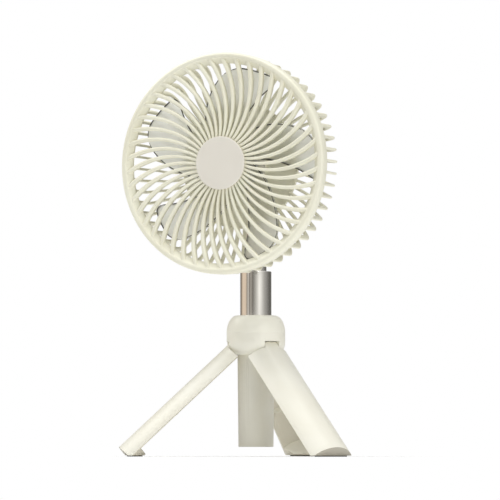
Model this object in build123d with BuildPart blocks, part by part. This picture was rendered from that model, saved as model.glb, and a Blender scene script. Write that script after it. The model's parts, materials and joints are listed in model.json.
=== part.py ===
from build123d import *
import math
import os

# Tripod fan: a battery fan on a telescopic pole, with three folding shell legs.
# Frame: +Z up, floor at Z = 0, the head faces -Y and X = 0 is the plane of symmetry.
# Heights are stacked from the floor up. Depths in the head are measured forward of the pole.

os.makedirs("parts", exist_ok=True)

# Fits and clearances
FIT = 0.05            # radial gap of pieces that are pressed or glued together
RUNNING = 0.06        # radial gap of pins and shafts that turn
SLIDING = 0.08        # radial gap of the telescopic tube in its bush
PLAY = 0.15           # radial gap of pieces that drop into place
MOVING_GAP = 0.4      # gap between pieces that move past each other

# Battery column
COLUMN_FLOOR_GAP = 7.6
COLUMN_TOP_R = 14.75
COLUMN_BOTTOM_R = 14.0
COLUMN_WALL = 1.7
COLUMN_CAP_T = 1.8
COLUMN_EDGE = 0.5
CELL_R = 9.2
CELL_LENGTH = 65.2
CELL_NIPPLE_R = 3.0
CONTACT_T = 1.6
SPIGOT_LENGTH = 3.0

# Hub
HUB_CAVITY_W = 7.25
HUB_FOOT_R = 16.4
HUB_TOP_R = 15.2
BOWL_ROUND = 10.7
DOME_HEIGHT = 13.6
HUB_WALL = 1.8
HUB_SLEEVE_WALL = 1.8
CORE_HEIGHT = 11.4
HUB_FLOOR_T = 2.4
HUB_SCREW_ANGLES = (30, 150)
HUB_SCREW_RECESS = 5.2

# Legs
LEG_AZIMUTHS = {"left": 210, "right": 330, "rear": 90}
LEG_OPEN_ANGLE = 46.85
LEG_SPREAD = 120
LEG_INSET = 0.6
LEG_WALL = 1.8
LEG_EDGE_GAP = 0.4
LEG_SHOULDER = 4.5
HINGE_INSET = 6.3
HINGE_RISE = 5.2
HINGE_PIN_R = 1.25
HINGE_PIN_GRIP = 4.4
KNUCKLE_R = 2.9
TONGUE_W = 13.4
TONGUE_TOP = 1.0
TONGUE_LENGTH = 9.0
TONGUE_TAPER = 5.2
TONGUE_SIDE_GAP = 0.3
STOP_GAP = 0.35
FOOT_TOE = 12.65
FOOT_INNER = 4.5
FOOT_LENGTH = 11.5
SADDLE_FROM_PIN = 69.0
SADDLE_T = 2.0
SADDLE_HALF_ANGLE = 47
PAD_T = 0.8
PAD_INSET = 1.2

# Pole
TUBE_R = 12.5
TUBE_WALL = 1.2
TUBE_SHOWN = 35.2
BUSH_LENGTH = 18.0
BUSH_RECESS = 0.6
MAST_R = 8.5
MAST_WALL = 1.0
MAST_TOP_SHOWN = 65.9
MAST_OVERLAP = 29.7
MAST_STOP_R = 10.6
MAST_STOP_T = 3.5
MAST_BORE_GAP = 0.4

# Tilt joint
NECK_PLUG = 12.0
NECK_COLLAR_R = 9.4
NECK_COLLAR_T = 3.0
NECK_BASE_T = 5.4
NECK_DEPTH = 7.0
CHEEK_R = 8.5
CHEEK_T = 3.5
WASHER_T = 1.0
WASHER_R = 6.0
WASHER_GAP = 0.3
LUG_W = 8.8
LUG_R = 6.5
LUG_FLOOR_GAP = 2.1
LUG_PLATE_R = 10.0
LUG_PLATE_T = 3.4
LUG_PLATE_GAP = 1.1
LUG_SCREW_X = 7.0
TILT_PIN_R = 2.5
TILT_HEAD_R = 4.0
TILT_HEAD_T = 1.6

# Motor pod
POD_R = 27.0
POD_REAR_R = 15.0
POD_DEPTH = 14.2
POD_STRAIGHT = 4.2
POD_WALL = 2.0
POD_BOSS_R = 3.0
POD_SCREW_CIRCLE_R = 19.0
POD_SCREWS = 3
POD_SCREW_RECESS = 4.0

# Cage
RING_R = 87.5
RING_WIDTH = 8.5
RING_SKIRT = 3.2
RING_SKIRT_T = 1.0
RING_LIP_R = 2.3
RING_LIP_RUN = 1.3
RING_DEPTH = 9.6
RING_SLOPE_RUN = 3.1
RING_SEAT_GAP = 0.2
CAGE_CORNER_R = 9.6
CAGE_DEPTH = 39.4
CAGE_BAND_T = 4.3
CAGE_BAND_LENGTH = 4.0
CAGE_PLATE_R = 50.0
CAGE_PLATE_T = 3.0
REAR_RIBS = 56
REAR_RIB_W = 2.0
REAR_RIB_DEPTH = 5.0
REAR_RIB_WAIST_R = 58.0
REAR_RIB_TURN_R = 68.0
REAR_RIB_ANGLES = (4.54, 3.74, 2.4, 0.95, 0.35)
FRONT_RIBS = 46
FRONT_RIB_DEPTH = 5.4
FRONT_RIB_SETBACK = 0.8
FRONT_RIB_SEAT = 4.6
FRONT_RIB_WAIST_R = 39.4
FRONT_RIB_ANGLES = (2.0, -1.4, 11.7)
FRONT_RIB_INNER_W = 2.2
FRONT_RIB_WAIST_W = 2.5
FRONT_RIB_OUTER_W = 3.6
FRONT_BOSS_R = 19.6
CAP_R = 21.0
CAP_T = 1.6
CAP_EDGE = 0.5
CAP_PEG_R = 4.0
CAP_PEG_LENGTH = 3.0
RIB_ROOT = 1.0

# Motor
MOUNT_R = 23.0
MOUNT_T = 2.5
MOUNT_TUBE_R = 6.5
MOUNT_TUBE_BACK = 1.2
BEARING_R = 5.0
BEARING_W = 4.0
SHAFT_R = 1.5
STATOR_STANDOFF = 5.3
STATOR_LENGTH = 10.0
STATOR_R = 14.1
STATOR_YOKE_R = 8.5
STATOR_TEETH = 9
TOOTH_W = 2.4
SHOE_T = 1.7
SHOE_ANGLE = 32
WINDING_T = 1.2
WINDING_GAP = 0.1
AIR_GAP = 0.4
MAGNETS = 10
MAGNET_T = 1.5
MAGNET_ANGLE = 32
CAN_T = 1.2
CAN_END_GAP = 1.0
BOARD_T = 1.6
DRIVER_BOARD_R = 15.6
CLIP_R = 3.0
CLIP_T = 0.8
CLIP_GAP = 0.3

# Impeller
BLADES = 5
BLADE_TIP_GAP = 4.6
BLADE_T = 1.8
BLADE_PHASE = 1.5
BLADE_ROOT_PITCH = 32
BLADE_TIP_PITCH = 20
BLADE_ROOT_SHIFT = 24.0
BLADE_BACK = 18.3
BLADE_LEADING_R = 38.0
BLADE_LEADING_ANGLES = (12, 1, -15)
BLADE_TRAILING_R = 52.0
BLADE_TRAILING_ANGLES = (74, 34.5, 14.5)
BLADE_CORNER_R = 9.0
IMPELLER_WALL = 1.9
IMPELLER_SKIRT_GAP = 1.0
IMPELLER_BOSS_R = 5.0
IMPELLER_BOSS_LENGTH = 2.6
NUT_ACROSS = 8.0
NUT_T = 2.4

# Switch and charging socket
BUTTON_R = 3.0
BUTTON_RISE = 4.2
BUTTON_PROUD = 0.5
BUTTON_TRAVEL = 0.8
BUTTON_FLANGE = 0.8
BUTTON_FLANGE_T = 0.8
SWITCH_W = 6.0
SWITCH_DEPTH = 2.6
SWITCH_PLUNGER_R = 1.2
SWITCH_PLUNGER_RISE = 0.6
SWITCH_PLAY = 0.1
BOARD_HALF_ANGLE = 46
SOCKET_ANGLE = 120
SOCKET_W = 9.0
SOCKET_H = 3.2
SOCKET_DEPTH = 6.6
SOCKET_SHELL = 0.4
SOCKET_TONGUE = 0.7
SOCKET_RECESS = 0.7
SOCKET_MARGIN = 0.2
SOCKET_SEAM_GAP = 0.07

# Screws
SCREW_R = 1.25
SCREW_HEAD_R = 2.3
SCREW_HEAD_T = 1.8
SMALL_SCREW_R = 1.0
SMALL_SCREW_HEAD_R = 1.9
SMALL_SCREW_HEAD_T = 1.4

# Radii that follow from one another
SLEEVE_R = TUBE_R + FIT + HUB_SLEEVE_WALL
CAVITY_R = SLEEVE_R + HUB_CAVITY_W
HUB_R = CAVITY_R + HUB_WALL
LEG_R = HUB_R - LEG_INSET
LEG_INNER_R = LEG_R - LEG_WALL
HINGE_R = LEG_R - HINGE_INSET
RING_INNER_R = RING_R - RING_WIDTH
CAGE_WALL_R = RING_R - RING_SKIRT_T - RING_SEAT_GAP
BLADE_R = CAGE_WALL_R - REAR_RIB_DEPTH - BLADE_TIP_GAP

# Heights of the stand
CELL_Z = COLUMN_FLOOR_GAP + COLUMN_CAP_T + CONTACT_T
SPIGOT_Z = CELL_Z + CELL_LENGTH + CONTACT_T
HUB_Z = SPIGOT_Z + SPIGOT_LENGTH
HINGE_Z = HUB_Z + HINGE_RISE
BOWL_WAIST_Z = HUB_Z + BOWL_ROUND
OPEN = math.radians(LEG_OPEN_ANGLE)
SLOT_CEILING_Z = (
    HINGE_Z + TONGUE_TOP * math.cos(OPEN) + (LEG_R - HINGE_R) * math.sin(OPEN) + STOP_GAP
)
CAVITY_Z = SLOT_CEILING_Z + HUB_FLOOR_T
BOARD_TOP_Z = CAVITY_Z + BOARD_T
SEAM_Z = BOARD_TOP_Z + SOCKET_H + SOCKET_SEAM_GAP
HUB_TOP_Z = SEAM_Z + DOME_HEIGHT
TUBE_Z = HUB_Z + CORE_HEIGHT
TUBE_TOP_Z = HUB_TOP_Z + TUBE_SHOWN
MAST_Z = TUBE_TOP_Z - MAST_OVERLAP
MAST_TOP_Z = TUBE_TOP_Z + MAST_TOP_SHOWN
NECK_BASE_Z = MAST_TOP_Z + NECK_COLLAR_T
HEAD_Z = NECK_BASE_Z + NECK_BASE_T + LUG_FLOOR_GAP + LUG_R

# Geometry of the open legs and their slots
SPREAD = math.radians(LEG_SPREAD / 2)
LEG_LENGTH = (HINGE_Z + (FOOT_TOE - HINGE_R) * math.sin(OPEN)) / math.cos(OPEN)
LEG_REACH = HINGE_R + LEG_LENGTH * math.sin(OPEN) + (LEG_R - HINGE_R) * math.cos(OPEN)
SLOT_W = TONGUE_W + 2 * TONGUE_SIDE_GAP
SLOT_R = HINGE_R - KNUCKLE_R - TONGUE_SIDE_GAP

# Depths of the head, forward of the pole
LUG_PLATE_S = CHEEK_R + LUG_PLATE_GAP
POD_S = LUG_PLATE_S + LUG_PLATE_T
CAGE_S = POD_S + POD_DEPTH
RING_FRONT_S = CAGE_S + CAGE_DEPTH
RING_BACK_S = RING_FRONT_S - RING_DEPTH
RING_SEAT_S = RING_BACK_S + RING_SKIRT
RIB_FRONT_S = RING_FRONT_S - FRONT_RIB_SETBACK
RIB_BACK_S = RIB_FRONT_S - FRONT_RIB_DEPTH
MOUNT_S = CAGE_S + CAGE_PLATE_T
STATOR_S = MOUNT_S + MOUNT_T + STATOR_STANDOFF
STATOR_END_S = STATOR_S + STATOR_LENGTH
CAN_S = STATOR_S - WINDING_T
CAN_END_S = STATOR_END_S + WINDING_T + CAN_END_GAP
CAN_FRONT_S = CAN_END_S + CAN_T
MAGNET_R = STATOR_R + AIR_GAP
CAN_INNER_R = MAGNET_R + MAGNET_T + FIT
CAN_R = CAN_INNER_R + CAN_T
CUP_INNER_R = CAN_R + FIT
CUP_R = CUP_INNER_R + IMPELLER_WALL
CUP_FRONT_S = CAN_FRONT_S + IMPELLER_WALL
NUT_S = CUP_FRONT_S + IMPELLER_BOSS_LENGTH
BLADE_S = RING_FRONT_S - BLADE_BACK
BEARING_BACK_S = MOUNT_S - MOUNT_TUBE_BACK - CAGE_PLATE_T
SHAFT_S = BEARING_BACK_S - CLIP_GAP - CLIP_T

# The pole stands behind the middle, so that the whole fan is centred front to back
POLE_Y = (RING_FRONT_S + CAP_T - LEG_REACH) / 2

POLE_SECTION = Plane(origin=(0, POLE_Y, 0), x_dir=(1, 0, 0), z_dir=(0, -1, 0))
POLE_AXIS = Axis((0, POLE_Y, 0), (0, 0, 1))
HEAD_SECTION = Plane(origin=(0, POLE_Y, HEAD_Z), x_dir=(0, -1, 0), z_dir=(-1, 0, 0))
HEAD_AXIS = Axis((0, POLE_Y, HEAD_Z), (0, -1, 0))


def pole_plane(height):
    """Level plane centred on the pole."""
    return Plane(origin=(0, POLE_Y, height))


def spoke_plane(azimuth, radius, height):
    """Upright plane facing away from the pole, with its x level and its y up."""
    out = Vector(math.cos(math.radians(azimuth)), math.sin(math.radians(azimuth)), 0)
    origin = Vector(0, POLE_Y, height) + out * radius
    return Plane(origin=origin, x_dir=(-out.Y, out.X, 0), z_dir=out)


def head_plane(depth, turn=0):
    """Plane across the head's axis that faces the front, turned about that axis."""
    level = (math.cos(math.radians(turn)), 0, math.sin(math.radians(turn)))
    return Plane(origin=(0, POLE_Y - depth, HEAD_Z), x_dir=level, z_dir=(0, -1, 0))


def leg_vectors(azimuth):
    """Hinge centre, and the directions across, out of and down an open leg."""
    out = Vector(math.cos(math.radians(azimuth)), math.sin(math.radians(azimuth)), 0)
    up = Vector(0, 0, 1)
    across = up.cross(out)
    face = out * math.cos(OPEN) + up * math.sin(OPEN)
    down = out * math.sin(OPEN) - up * math.cos(OPEN)
    return Vector(0, POLE_Y, HINGE_Z) + out * HINGE_R, across, face, down


def leg_plane(azimuth, along):
    """Plane across an open leg: x across it, y out of its face, z down its length."""
    pin, across, _, down = leg_vectors(azimuth)
    return Plane(origin=pin + down * along, x_dir=across, z_dir=down)


def leg_side_plane(azimuth):
    """Plane along the middle of an open leg: x out of its face, y down its length."""
    pin, across, face, _ = leg_vectors(azimuth)
    return Plane(origin=pin, x_dir=face, z_dir=across)


def polar(radius, angle):
    """Point at a radius and an angle in degrees."""
    return (radius * math.cos(math.radians(angle)), radius * math.sin(math.radians(angle)))


def tube(plane, outer, inner, length, mode=Mode.ADD):
    """Round tube standing on the plane, or a rod where the bore is 0."""
    with BuildSketch(plane) as section:
        Circle(outer)
        if inner:
            Circle(inner, mode=Mode.SUBTRACT)
    extrude(section.sketch, amount=length, mode=mode)


def rods(plane, points, radius, length, mode=Mode.ADD):
    """Equal round rods that stand on the plane at the points."""
    with BuildSketch(plane) as section:
        with Locations(*points):
            Circle(radius)
    extrude(section.sketch, amount=length, mode=mode)


def sector(inner, outer, half_angle, middle):
    """Face of a ring sector about the sketch's origin."""
    start = middle - half_angle
    end = middle + half_angle
    with BuildSketch(mode=Mode.PRIVATE) as face:
        with BuildLine():
            rise = ThreePointArc(polar(outer, start), polar(outer, middle), polar(outer, end))
            fall = ThreePointArc(polar(inner, end), polar(inner, middle), polar(inner, start))
            Line(rise @ 1, fall @ 0)
            Line(fall @ 1, rise @ 0)
        make_face()
    return face.sketch


def rib_strip(radii, angles, widths):
    """Face of one curved rib, with an arc through every three radii on each side."""
    edges = []
    for side in (-1, 1):
        points = []
        for radius, angle, width in zip(radii, angles, widths):
            half_turn = math.degrees(width / 2 / radius)
            points.append(polar(radius, angle + side * half_turn))
        edges.append(points)
    with BuildSketch(mode=Mode.PRIVATE) as strip:
        with BuildLine():
            for points in edges:
                for start in range(0, len(points) - 2, 2):
                    ThreePointArc(*points[start : start + 3])
            Line(edges[0][0], edges[1][0])
            Line(edges[0][-1], edges[1][-1])
        make_face()
    return strip.sketch


# Column: tapered casing, cap, cell holder, cell and contacts
HOLDER_R = COLUMN_BOTTOM_R - COLUMN_WALL - FIT
COLUMN_BORE_R = HOLDER_R + FIT
with BuildPart() as column:
    with BuildSketch(POLE_SECTION):
        with BuildLine():
            Polyline(
                (COLUMN_BORE_R, COLUMN_FLOOR_GAP),
                (COLUMN_BOTTOM_R, COLUMN_FLOOR_GAP),
                (COLUMN_TOP_R, HUB_Z),
                (COLUMN_BORE_R, HUB_Z),
                close=True,
            )
        make_face()
    revolve(axis=POLE_AXIS)
    bottom_edges = column.edges().filter_by(GeomType.CIRCLE).group_by(Axis.Z)[0]
    fillet(bottom_edges.sort_by(SortBy.RADIUS)[-1], COLUMN_EDGE)

with BuildPart() as column_cap:
    tube(pole_plane(COLUMN_FLOOR_GAP), HOLDER_R, 0, COLUMN_CAP_T)

with BuildPart() as cell_holder:
    tube(pole_plane(CELL_Z), HOLDER_R, CELL_R + PLAY, CELL_LENGTH)

with BuildPart() as battery_cell:
    tube(pole_plane(CELL_Z), CELL_R, 0, CELL_LENGTH)

with BuildPart() as battery_contacts:
    tube(pole_plane(CELL_Z - CONTACT_T), HOLDER_R, CELL_NIPPLE_R, CONTACT_T)
    tube(pole_plane(CELL_Z + CELL_LENGTH), HOLDER_R, CELL_NIPPLE_R, CONTACT_T)

# Hub bowl: petals between three leg slots, with the core that the pole stands on
CORE_BORE_R = MAST_STOP_R + MAST_BORE_GAP
HUB_SCREW_CIRCLE_R = (SLEEVE_R + CAVITY_R) / 2
HUB_SCREW_POINTS = [polar(HUB_SCREW_CIRCLE_R, angle) for angle in HUB_SCREW_ANGLES]
PIN_LENGTH = SLOT_W + 2 * HINGE_PIN_GRIP
with BuildPart() as hub_bowl:
    with BuildSketch(POLE_SECTION):
        with BuildLine():
            Polyline(
                (HUB_FOOT_R, HUB_Z),
                (CORE_BORE_R, HUB_Z),
                (CORE_BORE_R, TUBE_Z),
                (TUBE_R + FIT, TUBE_Z),
                (TUBE_R + FIT, SEAM_Z),
                (SLEEVE_R, SEAM_Z),
                (SLEEVE_R, CAVITY_Z),
                (CAVITY_R, CAVITY_Z),
                (CAVITY_R, SEAM_Z),
                (HUB_R, SEAM_Z),
                (HUB_R, BOWL_WAIST_Z),
            )
            EllipticalCenterArc(
                (HUB_FOOT_R, BOWL_WAIST_Z), HUB_R - HUB_FOOT_R, BOWL_ROUND, start_angle=270, arc_size=90
            )
        make_face()
    revolve(axis=POLE_AXIS)
    tube(pole_plane(SPIGOT_Z), HOLDER_R, CORE_BORE_R, SPIGOT_LENGTH)
    for azimuth in LEG_AZIMUTHS.values():
        with BuildSketch(spoke_plane(azimuth, SLOT_R, 0)):
            with Locations((0, SLOT_CEILING_Z)):
                Rectangle(SLOT_W, SLOT_CEILING_Z - HUB_Z, align=(Align.CENTER, Align.MAX))
        extrude(amount=HUB_R, mode=Mode.SUBTRACT)
    for azimuth in LEG_AZIMUTHS.values():
        with BuildSketch(leg_side_plane(azimuth)):
            Circle(HINGE_PIN_R + FIT)
        extrude(amount=PIN_LENGTH / 2, both=True, mode=Mode.SUBTRACT)
    rods(pole_plane(HUB_Z), HUB_SCREW_POINTS, SCREW_R + FIT, SEAM_Z - HUB_Z, Mode.SUBTRACT)
    rods(
        pole_plane(HUB_Z),
        HUB_SCREW_POINTS,
        SCREW_HEAD_R + PLAY,
        HUB_SCREW_RECESS,
        Mode.SUBTRACT,
    )
    with BuildSketch(spoke_plane(SOCKET_ANGLE, SLEEVE_R, BOARD_TOP_Z + SOCKET_H / 2)):
        SlotOverall(SOCKET_W + 2 * SOCKET_MARGIN, SOCKET_H + 2 * SOCKET_MARGIN)
    extrude(amount=HUB_R, mode=Mode.SUBTRACT)

# Hub dome: upper shell with the bosses that the screws bite into
BUTTON_Z = SEAM_Z + BUTTON_RISE
DOME_BOSS_R = SCREW_HEAD_R + FIT
DOME_BOSS_EDGE = HUB_SCREW_CIRCLE_R + DOME_BOSS_R


def dome_radius(height):
    """Outer radius of the dome at a height."""
    share = (height - SEAM_Z) / DOME_HEIGHT
    return HUB_TOP_R + (HUB_R - HUB_TOP_R) * math.sqrt(1 - share * share)


def dome_height(radius, wall):
    """Height of the dome's skin at a radius, a wall below its outer face."""
    share = (radius - HUB_TOP_R) / (HUB_R - wall - HUB_TOP_R)
    return SEAM_Z + (DOME_HEIGHT - wall) * math.sqrt(1 - share * share)


with BuildPart() as hub_dome:
    with BuildSketch(POLE_SECTION):
        with BuildLine():
            Line((TUBE_R + FIT, SEAM_Z), (HUB_R, SEAM_Z))
            EllipticalCenterArc(
                (HUB_TOP_R, SEAM_Z), HUB_R - HUB_TOP_R, DOME_HEIGHT, start_angle=0, arc_size=90
            )
            Polyline((HUB_TOP_R, HUB_TOP_Z), (TUBE_R + FIT, HUB_TOP_Z), (TUBE_R + FIT, SEAM_Z))
        make_face()
    revolve(axis=POLE_AXIS)
    with BuildSketch(POLE_SECTION):
        with BuildLine():
            Line((TUBE_R, SEAM_Z), (CAVITY_R, SEAM_Z))
            EllipticalCenterArc(
                (HUB_TOP_R, SEAM_Z),
                CAVITY_R - HUB_TOP_R,
                DOME_HEIGHT - HUB_WALL,
                start_angle=0,
                arc_size=90,
            )
            Polyline((HUB_TOP_R, HUB_TOP_Z - HUB_WALL), (TUBE_R, HUB_TOP_Z - HUB_WALL), (TUBE_R, SEAM_Z))
        make_face()
    revolve(axis=POLE_AXIS, mode=Mode.SUBTRACT)
    boss_top = (dome_height(DOME_BOSS_EDGE, 0) + dome_height(DOME_BOSS_EDGE, HUB_WALL)) / 2
    rods(pole_plane(CAVITY_Z), HUB_SCREW_POINTS, DOME_BOSS_R, boss_top - CAVITY_Z)
    rods(pole_plane(CAVITY_Z), HUB_SCREW_POINTS, SCREW_R + FIT, SEAM_Z - CAVITY_Z, Mode.SUBTRACT)
    with BuildSketch(spoke_plane(90, SLEEVE_R, BUTTON_Z)):
        Circle(BUTTON_R + MOVING_GAP)
    extrude(amount=HUB_R, mode=Mode.SUBTRACT)

HUB_SCREW_Z = HUB_Z + HUB_SCREW_RECESS
with BuildPart() as hub_screws:
    rods(pole_plane(HUB_SCREW_Z), HUB_SCREW_POINTS, SCREW_R, SEAM_Z - HUB_SCREW_Z)
    rods(pole_plane(HUB_SCREW_Z - SCREW_HEAD_T), HUB_SCREW_POINTS, SCREW_HEAD_R, SCREW_HEAD_T)

with BuildPart() as leg_pins:
    for azimuth in LEG_AZIMUTHS.values():
        with BuildSketch(leg_side_plane(azimuth)):
            Circle(HINGE_PIN_R)
        extrude(amount=PIN_LENGTH / 2, both=True)

# Charging board in the hub, with its socket and the push switch
BOARD_R = CAVITY_R - MOVING_GAP
SWITCH_S = SLEEVE_R + MOVING_GAP
BUTTON_FACE_R = dome_radius(BUTTON_Z) + BUTTON_PROUD
BUTTON_BACK_R = SWITCH_S + SWITCH_DEPTH + BUTTON_TRAVEL + SWITCH_PLAY
with BuildPart() as charge_board:
    with BuildSketch(pole_plane(CAVITY_Z)):
        add(sector(SLEEVE_R + MOVING_GAP, BOARD_R, BOARD_HALF_ANGLE, 90))
    extrude(amount=BOARD_T)

with BuildPart() as push_switch:
    with BuildSketch(spoke_plane(90, SWITCH_S, BOARD_TOP_Z)):
        Rectangle(SWITCH_W, BUTTON_Z - BOARD_TOP_Z + BUTTON_R, align=(Align.CENTER, Align.MIN))
    extrude(amount=SWITCH_DEPTH - SWITCH_PLUNGER_RISE)
    tube(spoke_plane(90, SWITCH_S, BUTTON_Z), SWITCH_PLUNGER_R, 0, SWITCH_DEPTH)

with BuildPart() as power_button:
    tube(spoke_plane(90, BUTTON_BACK_R, BUTTON_Z), BUTTON_R, 0, BUTTON_FACE_R - BUTTON_BACK_R)
    tube(spoke_plane(90, BUTTON_BACK_R, BUTTON_Z), BUTTON_R + BUTTON_FLANGE, 0, BUTTON_FLANGE_T)

SOCKET_FACE_R = HUB_R - SOCKET_RECESS
with BuildPart() as charge_socket:
    socket_plane = spoke_plane(SOCKET_ANGLE, SOCKET_FACE_R - SOCKET_DEPTH, BOARD_TOP_Z + SOCKET_H / 2)
    with BuildSketch(socket_plane):
        SlotOverall(SOCKET_W, SOCKET_H)
    extrude(amount=SOCKET_DEPTH)
    with BuildSketch(socket_plane.offset(SOCKET_SHELL)):
        SlotOverall(SOCKET_W - 2 * SOCKET_SHELL, SOCKET_H - 2 * SOCKET_SHELL)
        Rectangle(SOCKET_W - 2 * SOCKET_H, SOCKET_TONGUE, mode=Mode.SUBTRACT)
    extrude(amount=SOCKET_DEPTH, mode=Mode.SUBTRACT)

# Pole: fixed outer tube, its bush, and the sliding mast with its stop
BUSH_TOP_Z = TUBE_TOP_Z - BUSH_RECESS
with BuildPart() as outer_tube:
    tube(pole_plane(TUBE_Z), TUBE_R, TUBE_R - TUBE_WALL, TUBE_TOP_Z - TUBE_Z)

with BuildPart() as tube_bush:
    tube(pole_plane(BUSH_TOP_Z - BUSH_LENGTH), TUBE_R - TUBE_WALL - FIT, MAST_R + SLIDING, BUSH_LENGTH)

with BuildPart() as mast_tube:
    tube(pole_plane(MAST_Z), MAST_R, MAST_R - MAST_WALL, MAST_TOP_Z - MAST_Z)

with BuildPart() as mast_stop:
    tube(pole_plane(MAST_Z), MAST_STOP_R, MAST_R + FIT, MAST_STOP_T)

# Neck fork on the mast, with the tilt pin
CHEEK_GAP = LUG_W / 2 + WASHER_T + WASHER_GAP
FORK_HALF_W = CHEEK_GAP + CHEEK_T
FORK_FLOOR = LUG_R + LUG_FLOOR_GAP
FORK_BOTTOM = FORK_FLOOR + NECK_BASE_T
FORK_MOUTH = 2 * (FORK_FLOOR + CHEEK_R)
with BuildPart() as neck_fork:
    with BuildSketch(HEAD_SECTION):
        Circle(CHEEK_R)
        Rectangle(2 * NECK_DEPTH, FORK_BOTTOM, align=(Align.CENTER, Align.MAX))
    extrude(amount=FORK_HALF_W, both=True)
    with BuildSketch(HEAD_SECTION):
        with Locations((0, -FORK_FLOOR)):
            Rectangle(FORK_MOUTH, FORK_MOUTH, align=(Align.CENTER, Align.MIN))
    extrude(amount=CHEEK_GAP, both=True, mode=Mode.SUBTRACT)
    with BuildSketch(HEAD_SECTION):
        Circle(TILT_PIN_R + FIT)
    extrude(amount=FORK_HALF_W, both=True, mode=Mode.SUBTRACT)
    tube(pole_plane(MAST_TOP_Z), NECK_COLLAR_R, 0, NECK_COLLAR_T)
    tube(pole_plane(MAST_TOP_Z - NECK_PLUG), MAST_R - MAST_WALL - FIT, 0, NECK_PLUG)

with BuildPart() as tilt_pin:
    with BuildSketch(HEAD_SECTION):
        Circle(TILT_PIN_R)
    extrude(amount=FORK_HALF_W, both=True)
    for side in (-1, 1):
        with BuildSketch(HEAD_SECTION.offset(side * FORK_HALF_W)):
            Circle(TILT_HEAD_R)
        extrude(amount=side * TILT_HEAD_T)

# Tilt lug on the back of the pod, with its friction washers
LUG_SCREW_POINTS = [(-LUG_SCREW_X, 0), (LUG_SCREW_X, 0)]
with BuildPart() as tilt_lug:
    tube(head_plane(LUG_PLATE_S), LUG_PLATE_R, 0, LUG_PLATE_T)
    with BuildSketch(HEAD_SECTION):
        Circle(LUG_R)
        Rectangle(LUG_PLATE_S + LUG_PLATE_T / 2, 2 * LUG_R, align=(Align.MIN, Align.CENTER))
    extrude(amount=LUG_W / 2, both=True)
    with BuildSketch(HEAD_SECTION):
        Circle(TILT_PIN_R + RUNNING)
    extrude(amount=LUG_W / 2, both=True, mode=Mode.SUBTRACT)
    rods(head_plane(LUG_PLATE_S), LUG_SCREW_POINTS, SMALL_SCREW_R + FIT, LUG_PLATE_T, Mode.SUBTRACT)

with BuildPart() as tilt_washers:
    for side in (-1, 1):
        with BuildSketch(HEAD_SECTION.offset(side * LUG_W / 2)):
            Circle(WASHER_R)
            Circle(TILT_PIN_R + RUNNING, mode=Mode.SUBTRACT)
        extrude(amount=side * WASHER_T)

with BuildPart() as lug_screws:
    rods(head_plane(LUG_PLATE_S), LUG_SCREW_POINTS, SMALL_SCREW_R, LUG_PLATE_T + POD_WALL)
    rods(head_plane(POD_S + POD_WALL), LUG_SCREW_POINTS, SMALL_SCREW_HEAD_R, SMALL_SCREW_HEAD_T)

# Motor pod behind the cage
POD_SCREW_POINTS = [polar(POD_SCREW_CIRCLE_R, 90 + 360 / POD_SCREWS * index) for index in range(POD_SCREWS)]
POD_SHOULDER_S = CAGE_S - POD_STRAIGHT
SCREW_SEAT_S = POD_S + POD_SCREW_RECESS
with BuildPart() as motor_pod:
    with BuildSketch(HEAD_SECTION):
        with BuildLine():
            Polyline((POD_S, POD_REAR_R), (POD_S, 0), (CAGE_S, 0), (CAGE_S, POD_R), (POD_SHOULDER_S, POD_R))
            EllipticalCenterArc(
                (POD_SHOULDER_S, POD_REAR_R),
                POD_SHOULDER_S - POD_S,
                POD_R - POD_REAR_R,
                start_angle=90,
                arc_size=90,
            )
        make_face()
    revolve(axis=HEAD_AXIS)
    with BuildSketch(HEAD_SECTION):
        with BuildLine():
            Polyline(
                (POD_S + POD_WALL, POD_REAR_R),
                (POD_S + POD_WALL, 0),
                (CAGE_S, 0),
                (CAGE_S, POD_R - POD_WALL),
                (POD_SHOULDER_S, POD_R - POD_WALL),
            )
            EllipticalCenterArc(
                (POD_SHOULDER_S, POD_REAR_R),
                POD_SHOULDER_S - POD_S - POD_WALL,
                POD_R - POD_REAR_R - POD_WALL,
                start_angle=90,
                arc_size=90,
            )
        make_face()
    revolve(axis=HEAD_AXIS, mode=Mode.SUBTRACT)
    rods(head_plane(SCREW_SEAT_S - POD_WALL), POD_SCREW_POINTS, POD_BOSS_R, CAGE_S - SCREW_SEAT_S + POD_WALL)
    rods(head_plane(POD_S), POD_SCREW_POINTS, SCREW_R + FIT, POD_DEPTH, Mode.SUBTRACT)
    rods(head_plane(POD_S), POD_SCREW_POINTS, SCREW_HEAD_R + PLAY, POD_SCREW_RECESS, Mode.SUBTRACT)
    rods(head_plane(POD_S), LUG_SCREW_POINTS, SMALL_SCREW_R + FIT, POD_WALL, Mode.SUBTRACT)

with BuildPart() as pod_screws:
    rods(head_plane(SCREW_SEAT_S), POD_SCREW_POINTS, SCREW_R, MOUNT_S + MOUNT_T - SCREW_SEAT_S)
    rods(head_plane(SCREW_SEAT_S - SCREW_HEAD_T), POD_SCREW_POINTS, SCREW_HEAD_R, SCREW_HEAD_T)

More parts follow.
